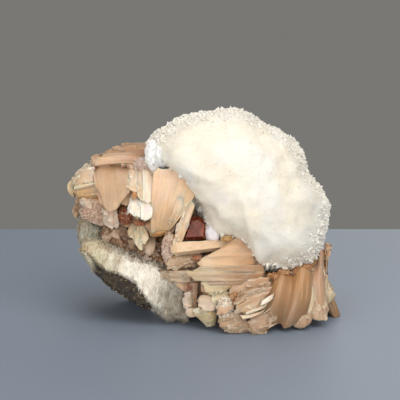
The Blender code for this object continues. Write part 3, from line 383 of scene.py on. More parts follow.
LOWER_DRUSES = {
    "shelf_edge": Druse(
        (-12.2, -18.2, -15.4), (1.8, 5.2, 1.8), 330, 0.7, (0.74, 0.56, 0.46), (0.50, 0.32, 0.24),
    ),
    # Pale crumbs whose near-white colour is partly a painted highlight
    "sparkle": Druse(
        (9.6, -40.6, -18.0), (3.0, 4.0, 2.4), 300, 0.8, (0.94, 0.86, 0.74), (0.58, 0.42, 0.29),
    ),
    "rim_left": Druse(
        (27.8, -28.6, -13.4), (2.6, 1.4, 1.6), 150, 0.6, (0.62, 0.33, 0.14), (0.34, 0.14, 0.05), 0.3,
    ),
    "rim_left_high": Druse(
        (31.4, -27.2, -13.0), (2.3, 1.0, 1.6), 110, 0.6, (0.62, 0.34, 0.15), (0.34, 0.14, 0.05), 0.3,
    ),
    "rim_right": Druse(
        (36.8, -26.7, -11.6), (2.1, 1.6, 1.6), 130, 0.6, (0.60, 0.30, 0.13), (0.30, 0.12, 0.05), 0.3,
    ),
    "rim_right_high": Druse(
        (40.0, -25.3, -11.0), (1.9, 1.0, 1.6), 100, 0.6, (0.60, 0.31, 0.14), (0.30, 0.12, 0.05), 0.3,
    ),
    "orange_spot": Druse(
        (10.0, -14.6, -17.6), (2.0, 1.0, 1.2), 70, 0.6, (0.66, 0.42, 0.18), (0.42, 0.22, 0.08),
    ),
    "rust_wedge": Druse(
        (-0.8, -21.8, -15.6), (1.8, 1.0, 1.2), 70, 0.6, (0.58, 0.27, 0.14), (0.30, 0.10, 0.05),
    ),
    "rust_low": Druse(
        (-3.4, -32.4, -13.0), (1.9, 1.7, 1.4), 90, 0.6, (0.46, 0.20, 0.10), (0.24, 0.08, 0.04),
    ),
    "cave": Druse((13.6, -36.6, -17.4), (2.4, 1.8, 1.4), 120, 0.7, (0.58, 0.32, 0.16), (0.34, 0.16, 0.07)),
}

# Blades whose face is broken into small plates: how many to a square mm, and their size in mm
SCALES = {
    "pearly_left": (0.5, 2.0),
    "boat_face": (0.5, 2.6), "boat_side": (0.25, 2.6), "dome": (0.12, 3.5),
    "light_left": (0.3, 2.9), "light_middle": (0.2, 2.9),
    "hanging_left": (0.4, 2.6), "hanging_middle": (0.4, 2.9),
    "hanging_right": (0.3, 2.6), "under_left": (0.9, 2.5), "under_middle": (0.9, 2.6),
    "shelf_wedge": (0.5, 2.9), "shelf_face": (0.7, 2.0), "tan_back": (0.15, 3.2),
    "level_under": (0.3, 3.2), "cream_fan": (0.3, 3.2), "olive_plate": (0.4, 2.9),
    "green_lump": (0.25, 2.9),
    "brown_wall": (0.5, 2.3), "brown_band": (0.5, 2.9),
    "tan_plate": (0.25, 3.8), "foot": (0.35, 3.5), "foot_left": (0.5, 3.2),
    "smooth_toe": (0.2, 2.3), "right_wall": (0.08, 3.5), "tongue_side": (0.08, 2.9),
    "fan_step": (0.1, 3.8), "strip": (0.15, 3.5), "side_crystal": (0.2, 2.9),
}

# The clusters, with the number of plates over each heart and the place that they point away from
CLUSTERS = (
    Cluster(
        "upper", UPPER_BLADES, UPPER_SHEAVES, UPPER_SKIRTS, "peach", UPPER_DRUSES,
        900, (-24.0, 14.0, 2.0), 31,
    ),
    Cluster("lower", LOWER_BLADES, (), LOWER_SKIRTS, "waxy", LOWER_DRUSES, 1500, (22.0, -22.0, 2.0), 37),
    Cluster("back", {}, (), BACK_SKIRTS, "peach", {}, 1100, (13.0, -8.0, 10.0), 43),
)

# The tuft's lobes
TUFT_LUMPS = (
    Lump((-18.0, 17.0, -14.0), (1.9, 4.6, 3.0), 0.12),
    Lump((-15.2, 16.6, -14.2), (2.0, 3.2, 2.6), 0.12),
    Lump((-17.2, 13.0, -14.6), (0.9, 1.6, 1.2), 0.12),
    Lump((-13.9, 14.6, -14.6), (0.9, 1.5, 1.2), 0.12),
)

# Small smooth crystals on the ball's edge, and their colours
ACCENTS = (
    (Lump((4.8, -12.6, -14.6), (2.7, 4.0, 3.2), 0.25), (0.80, 0.76, 0.77)),
    (Lump((-10.4, 13.0, -15.0), (2.6, 0.9, 1.4), 0.1), (0.84, 0.68, 0.60)),
    (Lump((15.9, -13.6, -16.4), (0.7, 1.8, 0.9), 0.1), (0.93, 0.89, 0.84)),
    (Lump((16.8, -15.8, -15.6), (0.6, 1.5, 0.8), 0.1), (0.93, 0.89, 0.84)),
)

# The bumps of the ball's body as (height in mm, width in mm, seed), and the share of that height it has
BALL_BUMPS = ((0.9, 3.4, 1), (0.15, 1.3, 2), (1.5, 7.0, 3))
BALL_ROUGH = 0.6

# Its colours: white, cream, pink, and tan painted shade in its folds as (place, radius in mm, strength)
SNOW = (0.81, 0.785, 0.72)
CREAM = (0.81, 0.755, 0.635)
PINK = (0.81, 0.735, 0.665)
FOLD_SHADE = (0.62, 0.50, 0.38)
SHADED_FOLDS = (
    ((4.4, -3.6, -22.0), 3.6, 0.15),
    ((5.0, -8.5, -21.0), 3.6, 0.1),
    ((1.0, 8.0, -20.0), 4.0, 0.2),
)

# Its needles: how many tufts, needles in a tuft, least and most height in mm, and meshes they fill
BALL_TUFTS = 12500
BALL_TUFT_NEEDLES = 7
BALL_RISE_MM = (0.05, 0.28)
NEEDLE_MESHES = 4

# Coarser crystals round its outline and on its back: how many, their size in mm and seed. In front they
# begin at OUTLINE_SHARE of the way from the ball's middle to its outline.
BALL_CRUMBS = ((6000, 0.9, 8), (900, 1.5, 9))
CRUMB_LIGHT = (0.83, 0.80, 0.74)
CRUMB_DARK = (0.77, 0.74, 0.67)
OUTLINE_SHARE = 0.84

# The tuft's needles and colours
TUFT_SPRAYS = 260
TUFT_SPRAY_NEEDLES = 12
TUFT_RISE_MM = (0.3, 1.3)
TUFT_TINT = (0.96, 0.955, 0.94)
TUFT_NEEDLE_TINT = (0.97, 0.965, 0.95)

# Spacing of the points of a blade's face, across its ribs and along them
ACROSS_MM = 0.34
ALONG_MM = 0.6

# How far a blade's side slopes out, and how deep, before it ends
LIP_MM = 0.3
LIP_DEEP_MM = 1.4

# Relief of a blade's face: its swell, how far a step's line wanders, the width of a step, where the thin
# layers end as shares of the blade's length, how much of a step each drops, and its finest ridges
SWELL_MM = 0.3
WANDER_MM = 0.4
STEP_WIDTH_MM = 0.3
LAYER_ENDS = ((0.15, 0.4), (0.4, 0.65), (0.65, 0.9))
LAYER_DROP = 0.8
LAYER_SLOPE_MM = 0.6
RIDGE_MM = 0.07

# Painted highlight on the sides, tips and steps of a blade, and the cool and the warm cast that take turns
# over it
SIDE_HIGHLIGHT = 0.45
TIP_HIGHLIGHT = 0.5
STEP_HIGHLIGHT = 0.6
COOL_CAST = np.array((1.03, 1.03, 1.07))
WARM_CAST = np.array((1.0, 0.93, 0.85))

# Corners of a small plate as (along in lengths, across in half widths), and how much each has of the
# colour of the plate's tip
PLATE_OUTLINE = np.array(((-0.5, -0.8), (-0.6, 0.7), (0.1, 1.0), (0.42, 0.55), (0.5, -0.2), (0.3, -1.0)))
PLATE_SHADE = np.array((0.0, 0.0, 0.3, 0.6, 0.6, 0.3))

# The clusters' hearts and the plates that cover them: their colours, and the plates' size in mm. A heart
# stays BEHIND_MM behind the blades in front of it, and shrinks where it is right of HEART_RIGHT_END.
HEART_LIGHT = (0.56, 0.37, 0.24)
HEART_DARK = (0.42, 0.25, 0.15)
FLAKE_TONES = ((0.46, 0.29, 0.17), (0.62, 0.44, 0.29))
FLAKE_MM = 3.6
BEHIND_MM = 0.8
HEART_RIGHT_END = 42.5

FIBRES = 15000

# Points that would be under the floor are lifted to this height
FLOOR_GAP_MM = 0.02

# Surfaces: (scale, darkest, lightest) of the streaks and of the speckles, least and most roughness, relief
# in mm, and the shader's plain values
FINISHES = {
    "stilbite": ((1.3, 0.94, 1.03), (900.0, 0.96, 1.03), (0.34, 0.55), 0.03, {
        "Subsurface Weight": 0.6, "Subsurface Scale": 0.0018, "Subsurface Radius": (1.0, 0.55, 0.32),
        "Coat Weight": 0.08, "Coat Roughness": 0.3, "IOR": 1.49,
    }),
    "pale_stilbite": ((1.2, 0.88, 1.06), (700.0, 0.92, 1.05), (0.3, 0.5), 0.06, {
        "Subsurface Weight": 0.35, "Subsurface Scale": 0.0018, "Subsurface Radius": (1.0, 0.6, 0.35),
        "Coat Weight": 0.12, "Coat Roughness": 0.25, "IOR": 1.49,
    }),
    "scolecite": ((2.0, 0.96, 1.02), (600.0, 0.96, 1.02), (0.55, 0.8), 0.08, {
        "Subsurface Weight": 0.4, "Subsurface Scale": 0.0012, "Subsurface Radius": (1.0, 0.85, 0.65),
        "IOR": 1.51,
    }),
    "scolecite_needles": ((2.0, 0.97, 1.02), (800.0, 0.97, 1.02), (0.75, 0.95), 0.02, {"IOR": 1.51}),
    "fibrous_zeolite": ((1.4, 0.9, 1.04), (900.0, 0.92, 1.05), (0.5, 0.75), 0.05, {"IOR": 1.5}),
    "basalt": ((0.8, 0.6, 1.3), (1400.0, 0.5, 1.6), (0.6, 0.95), 0.3, {"IOR": 1.55}),
    "druse": ((1.0, 0.8, 1.1), (900.0, 0.8, 1.15), (0.15, 0.4), 0.08, {
        "Subsurface Weight": 0.2, "Subsurface Scale": 0.0015, "Subsurface Radius": (1.0, 0.4, 0.25),
        "Coat Weight": 0.2, "Coat Roughness": 0.15, "IOR": 1.5,
    }),
    "heulandite": ((0.5, 0.75, 1.1), (700.0, 0.8, 1.1), (0.2, 0.4), 0.05, {
        "Transmission Weight": 0.2, "IOR": 1.5, "Specular IOR Level": 0.3,
    }),
}

# Lights: place and width in metres, watts and colour
LIGHTS = {
    "key": ((0.34, -0.42, 0.62), 0.7, 3.3, (1.0, 0.975, 0.94)),
    "fill": ((-0.46, -0.62, 0.05), 0.8, 5.2, (1.0, 0.97, 0.93)),
    "front": ((0.16, -0.84, 0.05), 0.7, 4.2, (1.0, 0.97, 0.93)),
    "top": ((0.0, -0.05, 0.80), 0.7, 2.1, (1.0, 1.0, 1.0)),
    "back": ((0.25, 0.66, 0.40), 0.7, 1.4, (1.0, 0.98, 0.95)),
}
BACKDROP = (0.19, 0.187, 0.175, 1.0)
FLOOR_TINT = (0.215, 0.255, 0.32, 1.0)
FLOOR_ROUGHNESS = 0.5
FLOOR_NEAR_M = -1.2
FLOOR_FAR_M = 0.134
FLOOR_HALF_M = 0.9
LENS_MM = 100
SENSOR_MM = 36


def unit(vectors):
    """The same directions, one long."""
    return vectors / np.linalg.norm(vectors, axis=-1, keepdims=True)


def turned(direction):
    """Directions (across, up, deep) in upright axes."""
    across, up, deep = np.moveaxis(np.asarray(direction, float), -1, 0)
    behind = up * math.sin(LEAN) + deep * math.cos(LEAN)
    above = up * math.cos(LEAN) - deep * math.sin(LEAN)
    return np.stack((across, behind, above), -1)


FORWARD = turned((0.0, 0.0, -1.0))
CRUST_RUN = turned((-0.25, -1.0, 0.0))


def place(point):
    """Places (across, up, deep) in upright axes, in mm."""
    point = np.asarray(point, float)
    spread = 1 + point[..., 2:] / VIEW_MM
    return turned(np.concatenate((point[..., :2] * spread, point[..., 2:]), -1)) + MIDDLE_MM


def seen(points):
    """The (across, up, deep) of upright places: place() undone."""
    across, behind, above = np.moveaxis(points - MIDDLE_MM, -1, 0)
    up = behind * math.sin(LEAN) + above * math.cos(LEAN)
    deep = behind * math.cos(LEAN) - above * math.sin(LEAN)
    spread = 1 + deep / VIEW_MM
    return np.stack((across / spread, up / spread, deep), -1)


def hashed(cell, seed):
    """A repeatable value from -1 to 1 for each whole-numbered corner."""
    x, y, z = np.moveaxis(cell.astype(np.int64), -1, 0)
    mixed = (x * 73856093) ^ (y * 19349663) ^ (z * 83492791) ^ (seed * 39916801)
    mixed = ((mixed ^ (mixed >> 13)) * 1274126177) & 0xFFFFFFFF
    mixed ^= mixed >> 16
    return (mixed & 0xFFFF) / 32767.5 - 1.0


def soft_noise(points, size, seed=0):
    """Smooth noise from -1 to 1 whose bumps are about size mm wide."""
    scaled = points / size
    corner = np.floor(scaled)
    part = scaled - corner
    ease = part * part * (3 - 2 * part)
    total = 0.0
    for step in np.ndindex(2, 2, 2):
        weight = np.prod(np.where(step, ease, 1 - ease), axis=-1)
        total = total + weight * hashed(corner + step, seed)
    return total


def spots(x, y, z):
    """Places with these three coordinates."""
    return np.stack(np.broadcast_arrays(x, y, z), -1)


def fibre_noise(points, size, seed):
    """Noise drawn out along the crust's fibres."""
    along = points @ CRUST_RUN
    return soft_noise(points - CRUST_RUN * (along * 0.82)[:, None], size, seed)


def smoothstep(value):
    """Eases from 0 to 1 between 0 and 1."""
    value = np.clip(value, 0.0, 1.0)
    return value * value * (3 - 2 * value)


def mixed_colour(first, second, share):
    """Goes from one colour to another. share has one value for each point."""
    share = np.asarray(share, float)[..., None]
    return np.asarray(first, float) * (1 - share) + np.asarray(second, float) * share


def base_tint(points, light, dark):
    """Light and dark clouds of a colour."""
    level = smoothstep(0.5 + 0.8 * soft_noise(points, 5.0, 21) + 0.5 * soft_noise(points, 1.6, 22))
    return mixed_colour(dark, light, level)


def above_floor(points):
    """Points under the floor plane are lifted onto it."""
    points[..., 2] = np.maximum(points[..., 2], FLOOR_GAP_MM)
    return points


class Batch:
    """Points, triangles, colours and grain places that become one mesh."""

    def __init__(self):
        self.points = []
        self.triangles = []
        self.tints = []
        self.grains = []
        self.count = 0

    def add(self, points, triangles, tint, grain=None):
        points = points.reshape(-1, 3)
        self.points.append(points)
        self.triangles.append(triangles + self.count)
        self.tints.append(np.broadcast_to(tint, points.shape))
        self.grains.append(points if grain is None else grain.reshape(-1, 3))
        self.count += len(points)

    def joined(self):
        return np.concatenate(self.points), np.concatenate(self.triangles)

    def tree(self):
        points, triangles = self.joined()
        return BVHTree.FromPolygons(points.tolist(), triangles.tolist())

    def lift(self):
        for part in self.points:
            above_floor(part)


def mesh_object(name, batch, material, smooth):
    """A new object with the batch's mesh, its tint and its grain."""
    points, triangles = batch.joined()
    tints = np.concatenate(batch.tints)
    mesh = bpy.data.meshes.new(name)
    mesh.vertices.add(len(points))
    mesh.vertices.foreach_set("co", (points * MM).astype(np.float32).ravel())
    mesh.loops.add(len(triangles) * 3)
    mesh.loops.foreach_set("vertex_index", triangles.astype(np.int32).ravel())
    mesh.polygons.add(len(triangles))
    mesh.polygons.foreach_set("loop_start", np.arange(0, len(triangles) * 3, 3, dtype=np.int32))
    mesh.update(calc_edges=True)
    mesh.polygons.foreach_set("use_smooth", np.full(len(triangles), smooth))
    tint = mesh.attributes.new("tint", "FLOAT_COLOR", "POINT")
    rgba = np.concatenate((tints, np.ones((len(tints), 1))), -1)
    tint.data.foreach_set("color", rgba.astype(np.float32).ravel())
    grain = mesh.attributes.new("grain", "FLOAT_VECTOR", "POINT")
    grain.data.foreach_set("vector", np.concatenate(batch.grains).astype(np.float32).ravel())
    mesh.validate()
    mesh.materials.append(material)
    obj = bpy.data.objects.new(name, mesh)
    bpy.context.scene.collection.objects.link(obj)
    return obj


def write_piece(name, batch, material, node, smooth=False):
    """A piece that rides on the specimen, takes its slot's finish and stands for its solid."""
    obj = mesh_object(name, batch, MATERIALS[material], smooth)
    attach(obj, "root")
    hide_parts(node)


def triangulated(quads):
    """Two triangles for each row of four corners."""
    return np.concatenate((quads[:, (0, 1, 2)], quads[:, (0, 2, 3)]))


def sheet_faces(rows, columns):
    """Triangles of a closed plate: its front, its back and the rim between them."""
    front = np.arange(rows * columns).reshape(rows, columns)
    back = front + rows * columns
    here = (front[:-1, :-1], front[:-1, 1:], front[1:, 1:], front[1:, :-1])
    behind = (back[:-1, :-1], back[1:, :-1], back[1:, 1:], back[:-1, 1:])
    quads = [np.stack([part.ravel() for part in side], -1) for side in (here, behind)]
    rim = [(0, j) for j in range(columns - 1)]
    rim += [(i, columns - 1) for i in range(rows - 1)]
    rim += [(rows - 1, j) for j in range(columns - 1, 0, -1)]
    rim += [(i, 0) for i in range(rows - 1, 0, -1)]
    walls = [(front[b], front[a], back[a], back[b]) for a, b in zip(rim, rim[1:] + rim[:1])]
    return triangulated(np.concatenate((*quads, np.array(walls))))


def repeated(triangles, points_each, count):
    """The same triangles for count bodies that follow each other."""
    shift = np.arange(count)[:, None, None] * points_each
    return (triangles[None] + shift).reshape(-1, 3)


def corners_of(points, triangles):
    """The first, second and third corner of each triangle."""
    return (points[triangles[:, i]] for i in range(3))


def facing_out(points, triangles):
    """The triangles, turned over when they enclose their points inside out."""
    a, b, c = corners_of(points, triangles)
    if np.sum(a * np.cross(b, c)) < 0:
        return triangles[:, ::-1]
    return triangles


def curve(start, middle, end, share):
    """Places on a curve through three points, at shares from 0 to 1 of its way."""
    first = start * (1 - share) * (1 - 2 * share)
    return first + middle * 4 * share * (1 - share) + end * share * (2 * share - 1)


def blade_relief(across, share, long, finish, rng):
    """The height of a blade's face, how much its tip falls short, and the plate of each column.

    Plates meet at soft steps that wander and fade along the blade, and thin layers end before the tip.
    """
    width = across[-1]
    count = max(1, round(width / finish.plate))
    edges = (np.arange(1, count) + rng.uniform(-0.35, 0.35, count - 1)) * width / count
    owner = np.searchsorted(edges, across)
    run = share * long
    lift = finish.step * rng.normal(0, 1, count)
    start = rng.uniform(0, 100)
    height = SWELL_MM * soft_noise(spots(across, run * 0.5, start), 3.5, 50)
    for edge, jump in zip(edges, np.diff(lift)):
        line = spots(run[:, 0], edge, start)
        wander = edge + WANDER_MM * soft_noise(line, 3.5, 51)
        fade = smoothstep(0.65 + 0.9 * soft_noise(line, 5.0, 52))
        past = smoothstep((across - wander[:, None]) / STEP_WIDTH_MM + 0.5)
        height = height + (jump * fade)[:, None] * past
    jagged = 0.05 * soft_noise(spots(across, across, across), 0.9, 53)
    for low, high in LAYER_ENDS:
        stop = rng.uniform(low, high, count)[owner] + jagged
        past = smoothstep((share - stop) * long / LAYER_SLOPE_MM + 0.5)
        height = height - LAYER_DROP * finish.step * past
    fine = spots(across, run * 0.1, start)
    height = height + RIDGE_MM * soft_noise(fine, 0.5, 54) + RIDGE_MM * soft_noise(fine, 1.2, 55)
    jag = np.abs(soft_noise(spots(across, across, start), 0.9, 56))
    short = finish.ragged * (rng.random(count)[owner] + 0.6 * jag)
    return height, short, owner


def blade_columns(ribs):
    """Even columns over a blade: how far across they are, and their three points."""
    gaps = np.linalg.norm(ribs[1:] - ribs[:-1], axis=-1).mean(-1)
    reached = np.concatenate(((0.0,), np.cumsum(gaps)))
    across = np.linspace(0.0, reached[-1], max(6, round(reached[-1] / ACROSS_MM)))
    lines = np.array([[np.interp(across, reached, ribs[:, i, j]) for j in range(3)] for i in range(3)])
    return across, np.moveaxis(lines, 1, -1)


def blade_tint(tone, front, height, along, long, across, from_tip, owner):
    """Streaks and clouds of the tone's colours, with a painted highlight at the sides, the tip and the
    steps.
    """
    root_tint, tip_tint, highlight_tint = TONES[tone]
    width = across[-1]
    tint = mixed_colour(root_tint, tip_tint, smoothstep(along))
    slope = np.abs(np.gradient(height, axis=1)) * len(across) / width
    slope = slope + np.abs(np.gradient(height, axis=0)) * len(height) / long
    from_side = np.minimum(across, width - across)
    # Painted highlight: paler along the crest of each side, at the tip and on the steps
    rim = SIDE_HIGHLIGHT * np.exp(-np.abs(from_side - LIP_DEEP_MM) / 0.3) + TIP_HIGHLIGHT * np.exp(-from_tip / 0.5)
    rim = rim + np.clip(STEP_HIGHLIGHT * slope, 0, 0.4)
    tint = mixed_colour(tint, highlight_tint, np.clip(rim, 0, 0.75))
    streak = spots(across, along * long * 0.12, owner)
    level = 1 + 0.10 * soft_noise(streak, 0.7, 57) + 0.06 * soft_noise(front, 3.0, 58)
    warm = smoothstep(0.5 + 0.9 * soft_noise(front, 5.0, 59))[..., None]
    return tint * level[..., None] * (COOL_CAST * (1 - warm) + WARM_CAST * warm)


def add_lofted(batch, ribs, out, finish, rng):
    """A blade across its ribs: layered plates on its face, an uneven end and a painted highlight along its
    rim.

    ribs has three upright places for each rib. finish is a row with tone, plate, step, ragged and thick.
    """
    across, (start, middle, end) = blade_columns(ribs)
    long = np.linalg.norm(middle - start, axis=-1) + np.linalg.norm(end - middle, axis=-1)
    rows = max(6, round(long.mean() / ALONG_MM))
    share = np.linspace(0.0, 1.0, rows)[:, None] * np.ones_like(across)
    height, short, owner = blade_relief(across, share, long, finish, rng)
    along = share * (1 - short / long)
    from_tip = (1 - share) * long
    height = height - 0.12 * np.exp(-from_tip / 0.4)
    front = curve(start, middle, end, along[..., None]) + out * height[..., None]
    back = front - out * (finish.thick * (1 - 0.85 * share ** 4))[..., None]
    tint = blade_tint(finish.tone, front, height, along, long, across, from_tip, owner)
    grain = spots(across + rng.uniform(0, 100), 0.0, along * long * 0.09)
    points = np.stack((front, back))
    faces = facing_out(points.reshape(-1, 3), sheet_faces(rows, len(across)))
    # The back face is painted a tenth darker, as shade
    batch.add(points, faces, np.stack((tint, tint * 0.9)).reshape(-1, 3), np.stack((grain, grain)))
    return front, tint


def add_scales(batch, front, tint, highlight_tint, scales, rng):
    """Small plates over a blade's face, which point to its tip."""
    density, size = scales
    rows, columns = tint.shape[:2]
    area = np.linalg.norm(front[-1, columns // 2] - front[0, columns // 2])
    area = area * np.linalg.norm(front[rows // 2, -1] - front[rows // 2, 0])
    count = round(area * density)
    i = rng.integers(1, rows - 1, count)
    j = rng.integers(1, columns - 1, count)
    along = unit(front[i + 1, j] - front[i - 1, j])
    outward = unit(np.cross(front[i, j + 1] - front[i, j - 1], along))
    outward = outward * np.sign(outward @ FORWARD)[:, None]
    way = unit(along + outward * rng.uniform(0.05, 0.25, (count, 1)) + rng.normal(0, 0.12, outward.shape))
    low = tint[i, j] * rng.uniform(0.78, 1.1, (count, 1))
    # Painted highlight: each plate's tip takes most of the blade's highlight colour
    tones = (low, mixed_colour(low, highlight_tint, np.full(count, 0.85)))
    add_plates(batch, front[i, j], way, outward, size, tones, rng)


def add_blade(batch, fine, row, scales, seed):
    """A blade of the table, which faces the viewer, and the small plates on it."""
    ribs = np.array(row.ribs).reshape(-1, 3, 2)
    turn = np.array(row.turn)
    if len(turn) < len(ribs):
        side = np.linspace(-1.0, 1.0, len(ribs))
        turn = turn[0] * np.clip(-side, 0, 1) ** 3 + turn[-1] * np.clip(side, 0, 1) ** 3
    before = ribs[:1] + unit(ribs[:1] - ribs[1:2]) * LIP_MM
    after = ribs[-1:] + unit(ribs[-1:] - ribs[-2:-1]) * LIP_MM
    ribs = np.concatenate((before, ribs, after))
    turn = np.concatenate((turn[:1] + LIP_DEEP_MM, turn, turn[-1:] + LIP_DEEP_MM))
    deep = np.array(row.depths)[None] + turn[:, None]
    rng = np.random.default_rng(seed)
    front, tint = add_lofted(batch, place(np.concatenate((ribs, deep[..., None]), -1)), FORWARD, row, rng)
    if scales is not None:
        add_scales(fine, front, tint, TONES[row.tone][2], scales, rng)


def add_sheaf(batch, row, seed):
    """A sheaf that faces any way, its broad face slightly domed."""
    root = place(row.root)
    tip = place(row.tip)
    axis = unit(tip - root)
    side = unit(np.cross(axis, turned(row.facing)))
    out = np.cross(side, axis)
    spread = np.linspace(-1.0, 1.0, 5)
    dome = out * (row.thickness * (0.5 - 0.4 * spread ** 2))[:, None]
    start = root + side * (spread * row.root_width / 2)[:, None] + dome - out * row.thickness * 0.4
    end = tip + side * (spread * row.tip_width / 2)[:, None] + dome - axis * (0.8 * spread ** 2)[:, None]
    middle = (start + end) / 2 + out * row.thickness * 0.3
    finish = SheafFinish(row.tone, row.thickness)
    add_lofted(batch, np.stack((start, middle, end), 1), out, finish, np.random.default_rng(seed))


def skirt_rows(row, tone):
    """The sheaves that stand side by side around a body, as in the solids."""
    rng = random.Random(row.seed)
    rows = []
    arc = (row.end_deg - row.start_deg) / row.count
    for k in range(row.count):
        turn = math.radians(row.start_deg + arc * (k + 0.5) + rng.uniform(-0.2, 0.2) * arc)
        out = Vector((math.cos(turn), 0.0, math.sin(turn)))
        along = Vector((-out.z, 0.0, out.x))
        reach = math.hypot(row.radii[0] * out.x, row.radii[2] * out.z)
        width = reach * math.radians(arc) * 1.15
        sway = along * rng.uniform(-0.35, 0.35) * width
        up = Vector((0.0, row.radii[1], 0.0))
        root = Vector(row.middle) + out * reach * 0.62 + up * row.top - sway
        tip = Vector(row.middle) + out * reach * rng.uniform(1.0, 1.08) + up * row.bottom + sway
        facing = out + Vector((0.0, 0.25, 0.0)) + along * rng.uniform(-0.3, 0.3)
        tip_width = width * rng.uniform(0.8, 1.05)
        rows.append(Sheaf(root[:], tip[:], facing[:], width * 0.9, tip_width, row.thickness, tone))
    return rows


def round_mesh(subdivisions):
    """Directions (across, up, deep) of an even ball, and triangles that face out once placed."""
    bm = bmesh.new()
    bmesh.ops.create_icosphere(bm, subdivisions=subdivisions, radius=1.0)
    directions = unit(np.array([v.co for v in bm.verts]))
    triangles = np.array([[v.index for v in reversed(f.verts)] for f in bm.faces])
    bm.free()
    return directions, triangles


def lump_surface(row, subdivisions, extra=0.0):
    """A rounded, slightly uneven body."""
    directions, triangles = round_mesh(subdivisions)
    swell = 1 + row.rough * soft_noise(directions * 2.0 + np.array(row.middle), 1.2)
    offset = directions * (np.array(row.radii) * swell[:, None] + extra)
    return place(np.array(row.middle) + offset), triangles


def node_mesh(node):
    """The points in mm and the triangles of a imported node, its corners welded."""
    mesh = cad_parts[node].data
    points = np.empty(len(mesh.vertices) * 3, np.float32)
    mesh.vertices.foreach_get("co", points)
    mesh.calc_loop_triangles()
    triangles = np.empty(len(mesh.loop_triangles) * 3, np.int32)
    mesh.loop_triangles.foreach_get("vertices", triangles)
    points = points.reshape(-1, 3).astype(float) / MM
    _, first, inverse = np.unique(np.round(points, 3), axis=0, return_index=True, return_inverse=True)
    triangles = inverse.ravel()[triangles].reshape(-1, 3)
    return points[first], triangles


def refined(points, triangles, longest):
    """The same surface with no edge longer than longest mm."""
    bm = bmesh.new()
    verts = [bm.verts.new(p) for p in points]
    for triangle in triangles:
        if len(set(triangle)) == 3:
            bm.faces.new([verts[i] for i in triangle])
    for _ in range(6):
        edges = [e for e in bm.edges if e.calc_length() > longest]
        if not edges:
            break
        bmesh.ops.subdivide_edges(bm, edges=edges, cuts=1)
        bmesh.ops.triangulate(bm, faces=bm.faces)
    bm.normal_update()
    bm.verts.index_update()
    points = np.array([v.co for v in bm.verts])
    normals = np.array([v.normal for v in bm.verts])
    triangles = np.array([[v.index for v in f.verts] for f in bm.faces])
    bm.free()
    return points, normals, triangles


def raised_node(node, longest, relief):
    """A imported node's surface, refined and raised by what relief says for its points."""
    points, normals, triangles = refined(*node_mesh(node), longest)
    return points + normals * relief(points)[:, None], triangles


def scatter(points, triangles, count, rng, wanted=None):
    """Random places spread evenly over a surface, with the surface's directions there."""
    a, b, c = corners_of(points, triangles)
    cross = np.cross(b - a, c - a)
    doubled = np.linalg.norm(cross, axis=-1)
    normals = cross / np.maximum(doubled, 1e-9)[:, None]
    areas = doubled / 2
    if wanted is not None:
        areas = areas * wanted
    chosen = rng.choice(len(triangles), count, p=areas / areas.sum())
    u = np.sqrt(rng.random(count))[:, None]
    v = rng.random(count)[:, None]
    a, b, c = corners_of(points, triangles[chosen])
    return a * (1 - u) + b * (u * (1 - v)) + c * (u * v), normals[chosen]


def needles(roots, directions, lengths, radii):
    """Closed three-sided needles: their points and triangles."""
    helper = np.where(np.abs(directions[:, :1]) < 0.8, ((1.0, 0.0, 0.0),), ((0.0, 1.0, 0.0),))
    first = unit(np.cross(directions, helper))
    second = np.cross(directions, first)
    turns = np.arange(3) * math.tau / 3
    ring = first[:, None] * np.cos(turns)[:, None] + second[:, None] * np.sin(turns)[:, None]
    base = roots[:, None] + ring * radii[:, None, None]
    tips = roots + directions * lengths[:, None]
    points = np.concatenate((base, tips[:, None]), 1)
    one = np.array(((0, 2, 1), (0, 1, 3), (1, 2, 3), (2, 0, 3)))
    return points, repeated(one, 4, len(roots))


def sprays(points, triangles, count, each, rise, rng, tree=None):
    """Tufts of needles that spread from a surface: their roots, directions, lengths and radii.

    rise has the least and most height of a tuft. Tufts that would be buried in the tree are left out.
    """
    centres, outward = scatter(points, triangles, count, rng)
    if tree is not None:
        clear = open_places(centres + outward * 0.2, outward, tree, 3.5)
        centres = centres[clear]
        outward = outward[clear]
    count = len(centres)
    lean = unit(outward + rng.normal(0, 0.18, outward.shape))
    height = rng.uniform(*rise, count)
    disc = unit(rng.normal(0, 1, (count, each, 3))) * np.sqrt(rng.random((count, each, 1)))
    off = np.linalg.norm(disc, axis=-1)
    way = unit(lean[:, None] + disc * rng.uniform(0.4, 0.7, (count, 1, 1)))
    roots = centres[:, None] - outward[:, None] * 0.6 + disc * 0.25
    length = 0.6 + height[:, None] * (1.05 - 0.35 * off ** 2) * rng.uniform(0.75, 1.1, (count, each))
    radius = rng.uniform(0.16, 0.26, count * each)
    return roots.reshape(-1, 3), way.reshape(-1, 3), length.reshape(-1), radius


def crumbs(batch, points, triangles, count, size, light, dark, rng, wanted=None):
    """Small spindle-shaped crystals that cover a surface."""
    roots, outward = scatter(points, triangles, count, rng, wanted)
    way = unit(outward + rng.normal(0, 0.35, outward.shape))
    first = unit(np.cross(way, unit(rng.normal(0, 1, outward.shape))))
    second = np.cross(way, first)
    long = rng.uniform(0.6, 1.3, (count, 1)) * size
    wide = long * rng.uniform(0.45, 0.75, (count, 1))
    flat = wide * rng.uniform(0.5, 1.0, (count, 1))
    shapes = np.stack((
        roots - way * long * 0.5, roots + first * wide, roots + second * flat,
        roots - first * wide, roots - second * flat, roots + way * long * 0.8,
    ), 1)
    one = np.array([(0, i % 4 + 1, i) for i in (1, 2, 3, 4)] + [(5, i, i % 4 + 1) for i in (1, 2, 3, 4)])
    tint = mixed_colour(dark, light, rng.random(count))
    batch.add(shapes, repeated(one, 6, count), np.repeat(tint, 6, 0))


